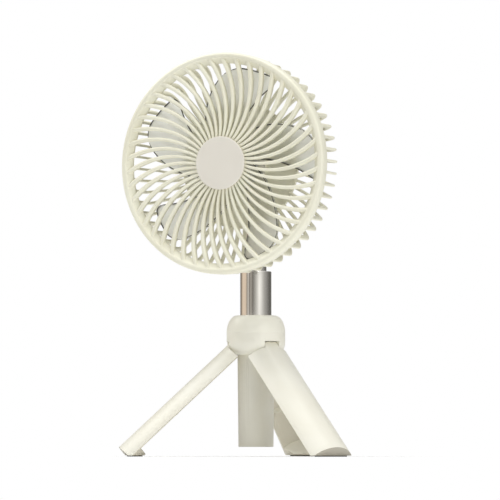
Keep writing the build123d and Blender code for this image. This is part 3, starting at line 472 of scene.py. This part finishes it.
CHROME = metal(
    "plated_tube", tint(236, 234, 230), tint(230, 228, 224), roughness=0.14,
    stretch=(1, 1, 0.02), size=1.2 * MM, depth=0.0006 * MM,
)
ZINC = metal(
    "zinc_plated", tint(186, 186, 182), tint(158, 160, 160), roughness=0.34,
    stretch=(1, 1, 0.3), size=1.0 * MM, depth=0.004 * MM,
)
MAGNET = metal(
    "sintered_magnet", tint(96, 96, 98), tint(74, 74, 78), roughness=0.5,
    stretch=(1, 1, 1), size=0.5 * MM, depth=0.01 * MM,
)
COPPER = wound_copper("winding_copper")


# %% Circuit board and cell wrap
TRACK_SCALE = 260.0


def circuit_board(name):
    """Green board with paler tracks on a grid."""
    made = finish(name)
    tracks = made.node(
        "ShaderNodeTexBrick",
        {"Vector": made.place(), "Scale": TRACK_SCALE, "Mortar Size": 0.08, "Mortar Smooth": 0.2},
        output="Fac",
    )
    blotch = made.noise(6 * MM)
    mask = made.limits(tracks * blotch, 0.25, 0.5)
    return made.surface(
        Base_Color=made.mix(mask, tint(24, 84, 52), tint(92, 150, 92)),
        Roughness=0.42 - 0.12 * mask,
        Normal=made.bump(mask, 0.03 * MM),
    )


def cell_wrap(name):
    """Shrink film with a faint ripple."""
    made = finish(name)
    ripple = made.noise(3 * MM, 2.0, (1, 1, 0.15))
    return made.surface(
        Base_Color=made.mix(ripple, tint(52, 112, 156), tint(40, 92, 136)),
        Roughness=0.22 + 0.12 * ripple,
        Normal=made.bump(ripple, 0.05 * MM),
    )


FINISHES = {
    "cream_plastic": CASING,
    "cap_plastic": CAP,
    "blade_plastic": BLADE,
    "chrome_tube": CHROME,
    "dark_rubber": RUBBER,
    "dark_plastic": DARK_PLASTIC,
    "plain_steel": ZINC,
    "magnet_grey": MAGNET,
    "copper_wire": COPPER,
    "board_green": circuit_board("solder_mask"),
    "cell_wrap": cell_wrap("shrink_film"),
}
for node, piece in NODES.items():
    piece.data.materials.clear()
    piece.data.materials.append(FINISHES[SLOT_OF[node]])
print("finishes", len(bpy.data.materials))

# %% [markdown]
# ## The curved ribs
# Both grilles are made of ribs that are arcs when seen from the front. Three points fix such an
# arc, and where it meets a given radius follows from the triangle between the fan's axis, the arc's
# centre and the point. The same lines drew the CAD ribs, so the rounded ribs here fall exactly over
# them. The blades' edges are arcs of the same kind. `ROOT` is how far the end of a rib or blade
# runs into the piece that carries it.

# %% The line of a rib
ROOT = 1.0 * MM


def arc_line(radii, angles):
    """Angle, in radians, of the arc through three polar points, as a function of the radius."""
    first, middle, last = [
        radius * complex(math.cos(math.radians(angle)), math.sin(math.radians(angle)))
        for radius, angle in zip(radii, angles)
    ]
    lean = (last - first) / (middle - first)
    centre = first + (middle - first) * (lean - abs(lean) ** 2) / (2j * lean.imag)
    bow = abs(first - centre)
    reach = abs(centre)
    heading = math.atan2(centre.imag, centre.real)
    side = math.copysign(1, math.sin(math.radians(angles[1]) - heading))

    def angle_at(radius):
        """Angle at which the arc meets the radius."""
        return heading + side * math.acos((radius**2 + reach**2 - bow**2) / (2 * radius * reach))

    return angle_at


def beside(angle_at, radius, depth, offset):
    """Point beside a rib's line, at a distance square to it."""
    step = 0.01 * MM
    here = head_point(radius, angle_at(radius), depth)
    ahead = head_point(radius + step, angle_at(radius + step), depth) - here
    across = Vector((-ahead.z, 0, ahead.x)).normalized()
    return here + across * offset


def stadium(across, deep, width, top, bottom):
    """Offset and depth of a unit circle's point on a rib's section, half round at both edges."""
    middle = top - width / 2 if deep > -0.01 else bottom + width / 2
    return across * width / 2, middle + deep * width / 2


# %% [markdown]
# ## Front grille
# A moulded ring carries 46 ribs that sweep in to a flat boss. The ring has a round bead and a slope
# behind it, and each rib runs out under the bead, so that its end is a soft point. The ring and the
# boss are spun, the rib is a rod with half-round edges that is bent along its line and copied
# round, and a union makes one clean shell of them all.

# %% Spin the ring and the boss
RING_WIDTH = 8.5 * MM
BEAD_R = 2.3 * MM
BEAD_DROP = 1.3 * MM
SLOPE_DROP = 3.1 * MM
SKIRT_T = 1.0 * MM
SKIRT_LENGTH = 3.2 * MM
RING_EDGE = 0.35 * MM
BOSS_R = 19.6 * MM
RIB_SINK = 0.8 * MM
RIB_HEIGHT = 5.4 * MM
RIB_FRONT = RING_FRONT - RIB_SINK
RIB_BACK = RIB_FRONT - RIB_HEIGHT
RING_INNER_R = RING_R - RING_WIDTH
BEAD_MIDDLE_R = RING_R - BEAD_R


def quarter(radius, depth, size_r, size_d, start, count=7):
    """Points of a quarter ellipse about (radius, depth), from a start angle in degrees."""
    turns = [math.radians(start + 90 * index / (count - 1)) for index in range(count)]
    return [(radius + size_r * math.cos(turn), depth + size_d * math.sin(turn)) for turn in turns]


ring_outline = [
    (RING_INNER_R, RING_BACK + SKIRT_LENGTH),
    (RING_R - SKIRT_T, RING_BACK + SKIRT_LENGTH),
    (RING_R - SKIRT_T, RING_BACK),
    (RING_R, RING_BACK),
]
ring_outline += quarter(BEAD_MIDDLE_R, RING_FRONT - BEAD_R, BEAD_R, BEAD_R, 0)
ring_outline += quarter(BEAD_MIDDLE_R, RING_FRONT - BEAD_DROP, BEAD_R, BEAD_DROP, 90)[1:]
ring_outline += [(RING_INNER_R, RING_FRONT - BEAD_DROP - SLOPE_DROP)]
front_grille = spun("front_grille_moulded", ring_outline, head_turned, steps=184)
boss_outline = [(0, RIB_BACK), (BOSS_R, RIB_BACK), (BOSS_R, RING_FRONT), (0, RING_FRONT)]
boss = spun("boss", boss_outline, head_turned, steps=92)

# %% Bend one rib, copy it round and join everything
FRONT_RIBS = 46
FRONT_SEAT = 4.6 * MM
FRONT_WAIST_R = 39.4 * MM
FRONT_RADII = (BOSS_R - ROOT, FRONT_WAIST_R, RING_INNER_R + FRONT_SEAT)
FRONT_ANGLES = (2.0, -1.4, 11.7)
FRONT_WIDTHS = (2.2 * MM, 2.5 * MM, 3.6 * MM)
front_line = arc_line(FRONT_RADII, FRONT_ANGLES)


def front_width(radius):
    """Width of a front rib, which grows from the boss to the ring."""
    inner, waist, outer = FRONT_RADII
    if radius < waist:
        share = (radius - inner) / (waist - inner)
        return FRONT_WIDTHS[0] + share * (FRONT_WIDTHS[1] - FRONT_WIDTHS[0])
    share = (radius - waist) / (outer - waist)
    return FRONT_WIDTHS[1] + share * (FRONT_WIDTHS[2] - FRONT_WIDTHS[1])


def front_rib_place(across, deep, along):
    """Lay a point of the rod on the front rib."""
    radius = FRONT_RADII[0] + along * (FRONT_RADII[2] - FRONT_RADII[0])
    offset, depth = stadium(across, deep, front_width(radius), RIB_FRONT, RIB_BACK)
    return beside(front_line, radius, depth, offset)


front_ribs = ring_of(bar("front_ribs", sides=12, rings=26, place=front_rib_place), FRONT_RIBS)
combine(front_ribs, boss, "UNION")
round_edges(front_grille, RING_EDGE)
combine(front_grille, front_ribs, "UNION")
smooth(front_grille, angle=50)
stand_for(front_grille, "front_grille")
print("front grille faces", len(front_grille.data.polygons))

# %% [markdown]
# ## Centre cap
# The cap is a flat disc that snaps over the boss on a peg. It is spun with a small step at its rim,
# where a real cap has a rounded mould edge that catches a thin line of light.

# %% Spin the cap
CAP_EDGE = 0.7 * MM
CAP_DISH = 0.15 * MM
PEG_R = 4.0 * MM
cap_outline = [(0, CAP_BACK), (PEG_R, CAP_BACK), (PEG_R, RING_FRONT), (CAP_R - CAP_EDGE / 2, RING_FRONT)]
cap_outline += [(CAP_R, RING_FRONT + CAP_EDGE / 2)]
cap_outline += quarter(CAP_R - CAP_EDGE, CAP_FRONT - CAP_EDGE, CAP_EDGE, CAP_EDGE, 0)
cap_outline += [(CAP_R * 0.6, CAP_FRONT - CAP_DISH * 0.7), (0, CAP_FRONT - CAP_DISH)]
front_cap = spun("front_cap_moulded", cap_outline, head_turned, steps=120)
smooth(front_cap)
stand_for(front_cap, "front_cap")

# %% [markdown]
# ## Rear grille
# The rear ribs lean the other way, so that the two grilles make a lattice. Each one runs from the
# plate behind the motor over the back, round a corner and along the wall to a band, and it is deep
# and thin, like a blade on edge. Its line is followed in the flat of the back and then carried
# round the corner, with the rod's depth always pointing inwards.

# %% Spin the plate and the band
REAR_RIBS = 56
RIB_DEPTH = 5.0 * MM
REAR_WIDTH = 2.0 * MM
CORNER_R = 9.6 * MM
BAND_LENGTH = 4.0 * MM
BAND_T = 4.3 * MM
BAND_EDGE = 0.5 * MM
PLATE_R = 50.0 * MM
PLATE_T = 3.0 * MM
PLATE_BORE_R = 6.9 * MM
band_back = CAGE_SEAT - BAND_LENGTH
plate_outline = [
    (PLATE_BORE_R, CAGE_BACK),
    (PLATE_R, CAGE_BACK),
    (PLATE_R, CAGE_BACK + PLATE_T),
    (PLATE_BORE_R, CAGE_BACK + PLATE_T),
]
band_outline = [
    (WALL_R - BAND_T, band_back),
    (WALL_R, band_back),
    (WALL_R, CAGE_SEAT),
    (WALL_R - BAND_T, CAGE_SEAT),
]
rear_grille = spun("rear_grille_moulded", band_outline, head_turned, steps=168)
round_edges(rear_grille, BAND_EDGE)
plate = spun("plate", plate_outline, head_turned, steps=112)

# %% Carry one rib round the corner, copy it and join everything
RIB_START = PLATE_R - ROOT
WAIST_R = 58.0 * MM
TURN_R = 68.0 * MM
FLAT_R = WALL_R - CORNER_R
REAR_ANGLES = (4.54, 3.74, 2.4, 0.95, 0.35)
inner_line = arc_line((RIB_START, WAIST_R, TURN_R), REAR_ANGLES[:3])
outer_line = arc_line((TURN_R, FLAT_R, WALL_R + ROOT), REAR_ANGLES[2:])
RIB_FLAT = FLAT_R - RIB_START
RIB_BEND = CORNER_R * math.pi / 2
RIB_WALL = band_back + BAND_LENGTH / 2 - CAGE_BACK - CORNER_R


def rear_line(radius):
    """Angle of a rear rib, which straightens beyond its turn."""
    return inner_line(radius) if radius < TURN_R else outer_line(radius)


def rear_section(run):
    """Radius, depth and inward direction of the cage's skin at a run along the rib."""
    if run < RIB_FLAT:
        return RIB_START + run, CAGE_BACK, (0, 1)
    turn = min((run - RIB_FLAT) / CORNER_R, math.pi / 2)
    along_wall = max(run - RIB_FLAT - RIB_BEND, 0)
    radius = FLAT_R + CORNER_R * math.sin(turn)
    depth = CAGE_BACK + CORNER_R - CORNER_R * math.cos(turn) + along_wall
    return radius, depth, (-math.sin(turn), math.cos(turn))


def rear_rib_place(across, deep, along):
    """Lay a point of the rod on the rear rib."""
    radius, depth, inward = rear_section(along * (RIB_FLAT + RIB_BEND + RIB_WALL))
    offset, below = stadium(across, deep, REAR_WIDTH, 0, -RIB_DEPTH)
    return beside(rear_line, radius - inward[0] * below, depth - inward[1] * below, offset)


rear_ribs = ring_of(bar("rear_ribs", sides=12, rings=34, place=rear_rib_place), REAR_RIBS)
combine(rear_ribs, plate, "UNION")
combine(rear_grille, rear_ribs, "UNION")
smooth(rear_grille, angle=50)
stand_for(rear_grille, "rear_grille")
print("rear grille faces", len(rear_grille.data.polygons))

# %% [markdown]
# ## Impeller
# Five swept blades stand on a cup that grips the motor. A blade is a sheet, so it starts as a grid
# that is stretched between its two curved edges and lifted onto a twisted surface. Its outermost
# row of faces takes the dark edge colour, which is painted shade, and a thickness and a small bevel
# make it a moulding. The tip corners are rounded by drawing the grid's columns in.

# %% Shape the blade
BLADES = 5
TIP_GAP = 4.6 * MM
BLADE_R = WALL_R - RIB_DEPTH - TIP_GAP
BLADE_T = 1.8 * MM
BLADE_ROUND = 0.3 * MM
BLADE_PHASE = math.radians(1.5)
BLADE_SETBACK = 18.3 * MM
BLADE_MIDDLE = RING_FRONT - BLADE_SETBACK
ROOT_PITCH = math.radians(32)
TIP_PITCH = math.radians(20)
ROOT_SHIFT = 24.0 * MM
CORNER = 9.0 * MM
PAINTED_EDGE_W = 0.9 * MM
COLUMNS = 24
ROWS = 20
can_back, can_front = depths("rotor_can")
FIT = 0.05 * MM
CUP_WALL = 1.9 * MM
CUP_BORE_R = half_width("rotor_can") + FIT
CUP_R = CUP_BORE_R + CUP_WALL
ROOT_R = CUP_R - ROOT
LEADING_R = 38.0 * MM
LEADING_ANGLES = (12, 1, -15)
TRAILING_R = 52.0 * MM
TRAILING_ANGLES = (74, 34.5, 14.5)
leading = arc_line((ROOT_R, LEADING_R, BLADE_R), LEADING_ANGLES)
trailing = arc_line((ROOT_R, TRAILING_R, BLADE_R), TRAILING_ANGLES)


def blade_rise(out, side):
    """How far forward the twisted blade lies at a point of its plan."""
    share = out / (BLADE_R + CORNER)
    run = (1 - share) * math.cos(ROOT_PITCH) + share * math.cos(TIP_PITCH)
    rise = (1 - share) * math.sin(ROOT_PITCH) + share * math.sin(TIP_PITCH)
    return (side - (1 - share) * ROOT_SHIFT) * rise / run


def corner_drop(distance):
    """How far a rounded corner lies inside the tip, at a distance from the side edge."""
    if distance > CORNER:
        return 0.0
    return CORNER - math.sqrt(CORNER**2 - (CORNER - distance) ** 2)


def graded(index, count, length, first, last):
    """Place of a grid line, with narrow first and last steps where they are given."""
    if index == 0:
        return 0.0
    if index == count:
        return length
    inner = count - bool(first) - bool(last)
    return first + (length - first - last) * (index - bool(first)) / inner


def blade_place(column, row):
    """Lay a corner of the grid on the blade."""
    tip_width = BLADE_R * (trailing(BLADE_R) - leading(BLADE_R))
    from_leading = graded(column, COLUMNS, tip_width, PAINTED_EDGE_W, PAINTED_EDGE_W)
    reach = BLADE_R - corner_drop(from_leading) - corner_drop(tip_width - from_leading)
    radius = ROOT_R + graded(row, ROWS, reach - ROOT_R, 0, PAINTED_EDGE_W)
    width = radius * (trailing(radius) - leading(radius))
    angle = leading(radius) + graded(column, COLUMNS, width, PAINTED_EDGE_W, PAINTED_EDGE_W) / radius
    rise = blade_rise(radius * math.cos(angle), radius * math.sin(angle))
    return head_point(radius, angle + BLADE_PHASE, BLADE_MIDDLE + rise)


bpy.ops.object.select_all(action="DESELECT")
bpy.ops.mesh.primitive_grid_add(x_subdivisions=COLUMNS, y_subdivisions=ROWS, size=1)
blade = named("blade")
blade.data.materials.append(BLADE)
blade.data.materials.append(BLADE_EDGE_PAINTED_SHADE)
# The side and tip rows of the grid take the painted-shade edge colour.
for face in blade.data.polygons:
    across, along = face.center.x + 0.5, face.center.y + 0.5
    in_painted_edge = min(across, 1 - across) < 1 / COLUMNS
    face.material_index = int(in_painted_edge or along > 1 - 1 / ROWS)
for vertex in blade.data.vertices:
    vertex.co = blade_place(round((vertex.co.x + 0.5) * COLUMNS), round((vertex.co.y + 0.5) * ROWS))
with edit_mode(blade):
    bpy.ops.mesh.normals_make_consistent(inside=False)
apply(blade, "SOLIDIFY", thickness=BLADE_T, offset=0.0, material_offset_rim=-1)
round_edges(blade, BLADE_ROUND, angle=50)

# %% Spin the cup and join the blades to it
CUP_ROUND = 2.5 * MM
CUP_BOSS_R = 5.0 * MM
CUP_SETBACK = 1.0 * MM
SHAFT_BORE_R = half_width("motor_shaft") + FIT
cup_back = can_back + CUP_SETBACK
cup_front = can_front + CUP_WALL
nut_back = depths("impeller_nut")[0]
cup_outline = [(CUP_BORE_R, cup_back), (CUP_R, cup_back)]
cup_outline += quarter(CUP_R - CUP_ROUND, cup_front - CUP_ROUND, CUP_ROUND, CUP_ROUND, 0)
cup_outline += [(CUP_BOSS_R, cup_front), (CUP_BOSS_R, nut_back), (SHAFT_BORE_R, nut_back)]
cup_outline += [(SHAFT_BORE_R, can_front), (CUP_BORE_R, can_front)]
impeller = spun("impeller_moulded", cup_outline, head_turned, steps=96)
impeller.data.materials.append(BLADE)
impeller.data.materials.append(BLADE_EDGE_PAINTED_SHADE)
combine(impeller, ring_of(blade, BLADES), "UNION")
smooth(impeller)
stand_for(impeller, "impeller")
print("impeller faces", len(impeller.data.polygons))

# %% [markdown]
# ## Pole
# The two tubes show the studio in their plating, and a mirror shows every facet, so they are spun
# in many steps with rolled rims instead of being left as CAD facets.

# %% Spin the tubes
TUBE_WALL = 1.2 * MM
MAST_WALL = 1.0 * MM
RIM_EDGE = 0.35 * MM
for node, wall in (("outer_tube", TUBE_WALL), ("mast_tube", MAST_WALL)):
    low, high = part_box(node)
    radius = half_width(node)
    tube_outline = [(radius - wall, low.z), (radius, low.z), (radius, high.z), (radius - wall, high.z)]
    tube = spun(node + "_plated", tube_outline, pole_point, steps=160)
    round_edges(tube, RIM_EDGE, segments=3)
    stand_for(tube, node)

# %% [markdown]
# ## Casings, legs and small parts
# The hub, the legs, the column, the pod and the tilt joint have the right shapes already. What they
# lack is the small radius that every moulded edge has, so each one is copied, its triangles are
# merged back into faces, and its sharp edges are rounded. Edges that meet the hand are rounder than
# the hidden ones. The table gives each radius in millimetres.

# %% Soften the mouldings
EDGES = {
    "hub_bowl": 0.2, "hub_dome": 0.2, "column": 0.5, "column_cap": 0.3, "motor_pod": 0.4,
    "neck_fork": 0.7, "tilt_lug": 0.6, "tilt_pin": 0.5, "power_button": 0.5,
    "leg_left": 0.4, "leg_right": 0.4, "leg_rear": 0.4,
    "foot_pad_left": 0.15, "foot_pad_right": 0.15, "foot_pad_rear": 0.15,
    "tube_bush": 0.3, "pod_screws": 0.3, "hub_screws": 0.3, "impeller_nut": 0.3, "charge_socket": 0.08,
}
for node, edge in EDGES.items():
    softened(node, edge * MM)

# %% [markdown]
# ### Inside and ends of the legs
# A leg is a shell. Its outside is satin, and its hollow side and the cut at its end are given a darker
# cream as painted shade, for the shade that these downward and outward faces catch. Which faces these
# are follows from the way they point: the cut looks along the leg, from the hinge to the pad, and the
# hollow looks square to it, down and back to the column.

# %% Paint shade on the hollow and the cut of each leg
# Painted shade: these two darker creams stand in for the shade on the legs' downward and outward faces.
SHADED_HOLLOW = moulded("cream_hollow_painted_shade", tint(221, 216, 200), tint(216, 211, 194), 0.5)
SHADED_CUT = moulded("cream_cut_painted_shade", tint(188, 183, 169), tint(181, 176, 162), 0.55)
LEG_FINISH_AND_PAINTED_SHADES = [CASING, SHADED_HOLLOW, SHADED_CUT]
CUT_FACING = 0.8
HOLLOW_FACING = 0.4
for side in ("left", "right", "rear"):
    leg = bpy.data.objects[f"leg_{side}_moulded"]
    hinge = JOINTS[f"leg_{side}_fold"]
    pad_low, pad_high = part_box(f"foot_pad_{side}")
    along = ((pad_low + pad_high) / 2 - Vector(hinge["pos_m"])).normalized()
    under = along.cross(Vector(hinge["axis"]))
    under *= -math.copysign(1, under.z)
    for material in LEG_FINISH_AND_PAINTED_SHADES:
        leg.data.materials.append(material)
    # Faces that point along the leg or down under it take the painted shade colours.
    for face in leg.data.polygons:
        if face.normal.dot(along) > CUT_FACING:
            face.material_index = LEG_FINISH_AND_PAINTED_SHADES.index(SHADED_CUT)
        elif face.normal.dot(under) > HOLLOW_FACING:
            face.material_index = LEG_FINISH_AND_PAINTED_SHADES.index(SHADED_HOLLOW)
    print(leg.name, "dull faces", sum(face.material_index > 0 for face in leg.data.polygons))

# %% [markdown]
# ## Paint every new piece
# Each piece takes the finish of the slot it stands for. The grilles have their own, yellower cream,
# and mirrors don't show them, so that the pole's stripes stay clean.

# %% Hand out the finishes
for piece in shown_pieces():
    if "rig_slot" in piece and not piece.data.materials:
        piece.data.materials.append(FINISHES[piece["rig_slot"]])
for piece in (front_grille, rear_grille):
    piece.data.materials.clear()
    piece.data.materials.append(GRILLE)
    piece.visible_glossy = False

# %% [markdown]
# ## Camera
# The photograph was taken from far away with a long lens, from just above the floor and a little to
# the fan's left. The camera stands on a circle round the pole, so one azimuth and one distance
# place it, and it looks slightly up.

# %% Set up the camera
CAMERA_AZIMUTH = math.radians(24.69)
CAMERA_DISTANCE = 3.218
CAMERA_HEIGHT = 0.0082
CAMERA_UP = math.radians(2.79)
CAMERA_LEFT = math.radians(0.0845)
CAMERA_LENS = 289.8
CAMERA_SENSOR = 36


def around(azimuth, distance, height):
    """Point at a distance from the pole, with azimuth 0 in front and growing to the fan's left."""
    out_x, out_y = math.sin(azimuth), -math.cos(azimuth)
    return Vector((HEAD.x + distance * out_x, HEAD.y + distance * out_y, height))


bpy.ops.object.camera_add(
    location=around(CAMERA_AZIMUTH, CAMERA_DISTANCE, CAMERA_HEIGHT),
    rotation=(math.pi / 2 + CAMERA_UP, 0, CAMERA_AZIMUTH + CAMERA_LEFT),
)
camera = bpy.context.object
camera.data.lens = CAMERA_LENS
camera.data.sensor_width = CAMERA_SENSOR
camera.data.clip_end = 50
bpy.context.scene.camera = camera
print("camera at", [round(value, 3) for value in camera.location])

# %% [markdown]
# ## Studio
# The picture is a soft white studio. The world gives even light from all round and shows white to
# the camera, to mirrors and through glass. The floor is a pale disc that keeps the fan's shadow and
# fades to the same white further out. Four large lamps add direction: one above, one high on the
# left, and two weaker ones on the right. The glow of the floor is only there to be seen, so it is
# left out of the lamps that the renderer aims at, which keeps the picture free of grain.

# %% World and floor
SEEN_BY = ("Camera", "Glossy", "Transmission")


def seen_rays(made):
    """1 for rays from the camera, a mirror or through glass, and 0 for rays that light things."""
    seen = [made.node("ShaderNodeLightPath", {}, output=f"Is {kind} Ray") for kind in SEEN_BY]
    return made.maths("MINIMUM", seen[0] + seen[1] + seen[2], 1.0)


AMBIENT = 0.26
world = bpy.data.worlds.new("studio")
bpy.context.scene.world = world
sky = Finish(world)
level = AMBIENT + (1 - AMBIENT) * seen_rays(sky)
backdrop = sky.node("ShaderNodeBackground", {"Color": (1, 1, 1, 1), "Strength": level})
sky.node("ShaderNodeOutputWorld", {"Surface": backdrop})

FLOOR_R = 2.4
FADE_FROM = 0.10
FADE_TO = 0.17
bpy.ops.object.select_all(action="DESELECT")
bpy.ops.mesh.primitive_circle_add(vertices=96, radius=FLOOR_R, fill_type="NGON")
floor = named("studio_floor")
paper = finish("studio_paper")
away = paper.node("ShaderNodeVectorMath", {0: paper.place()}, output="Value", operation="LENGTH")
matt = paper.node("ShaderNodeBsdfDiffuse", {"Color": tint(254, 254, 254)})
glow = paper.node("ShaderNodeEmission", {"Strength": 1.0})
share = paper.limits(away, FADE_FROM, FADE_TO) * seen_rays(paper)
mixed = paper.node("ShaderNodeMixShader", {0: share, 1: matt, 2: glow})
paper.node("ShaderNodeOutputMaterial", {"Surface": mixed})
paper.owner.cycles.emission_sampling = "NONE"
floor.data.materials.append(paper.owner)

# %% Lamps
LAMPS = {
    "lamp_left": {"turn": -100, "distance": 1.1, "height": 1.3, "size": 1.1, "power": 12.6},
    "lamp_near": {"turn": 30, "distance": 1.8, "height": 0.5, "size": 0.9, "power": 7.1},
    "lamp_right": {"turn": 62, "distance": 1.6, "height": 0.9, "size": 1.1, "power": 4.2},
    "lamp_top": {"turn": 0, "distance": 0.3, "height": 1.7, "size": 1.2, "power": 15.3},
}
HUB_AIM = Vector((HEAD.x, HEAD.y, HEAD.z / 2))


def softbox(name, turn, distance, height, size, power):
    """Square soft lamp that faces the hub, at a turn in degrees to the right of the camera."""
    place = around(CAMERA_AZIMUTH + math.radians(turn), distance, height)
    bpy.ops.object.light_add(type="AREA", location=place)
    lamp = named(name)
    lamp.data.size = size
    lamp.data.energy = power
    lamp.rotation_euler = (HUB_AIM - lamp.location).to_track_quat("-Z", "Y").to_euler()
    print(name, power, "W")


for name, setting in LAMPS.items():
    softbox(name, **setting)

# %% [markdown]
# ### A wall for the plating
# A plated tube has no colour of its own: it shows the room as upright stripes. A round wall with a
# graded colour stands far outside the picture, and only reflections see it. Its tones are given by
# the direction in which they lie, in degrees to the right of the camera: a warm card and dark gaps
# on the left, a bright window that fades on the right.

# %% Bend a wall round the scene
WALL_DISTANCE = 1.4
WALL_TOP = 1.2
WALL_TONES = {
    -180: (96, 92, 88), -140: (128, 120, 110), -112: (234, 214, 192), -82: (234, 214, 192),
    -69: (146, 140, 132), -59: (226, 220, 212), -50: (122, 117, 110), -38: (180, 174, 166),
    -24: (120, 116, 109), 24: (244, 242, 236), 66: (174, 172, 168), 106: (120, 118, 114),
    140: (84, 82, 78), 180: (70, 68, 65),
}
bpy.ops.object.select_all(action="DESELECT")
bpy.ops.mesh.primitive_grid_add(x_subdivisions=96, y_subdivisions=1, size=1)
wall = named("studio_wall")
for vertex in wall.data.vertices:
    turn = CAMERA_AZIMUTH + 2 * math.pi * vertex.co.x
    vertex.co = around(turn, WALL_DISTANCE, WALL_TOP * (vertex.co.y + 0.5))
card = finish("studio_card")
across = card.node("ShaderNodeSeparateXYZ", {0: card.node("ShaderNodeTexCoord", {}, output="UV")})
stops = [((turn + 180) / 360, tint(*tone)) for turn, tone in WALL_TONES.items()]
tone = card.node("ShaderNodeValToRGB", {"Fac": across}, stops=stops)
light = card.node("ShaderNodeEmission", {"Color": tone, "Strength": 1.0})
card.node("ShaderNodeOutputMaterial", {"Surface": light})
card.owner.cycles.emission_sampling = "NONE"
wall.data.materials.append(card.owner)
wall.visible_camera = False
wall.visible_diffuse = False
wall.visible_shadow = False
wall.visible_transmission = False
print("wall tones", len(WALL_TONES))

# %% [markdown]
# ## View
# The scene is shown with Blender's Standard view transform.

# %% Set the view transform
bpy.context.scene.view_settings.view_transform = "Standard"
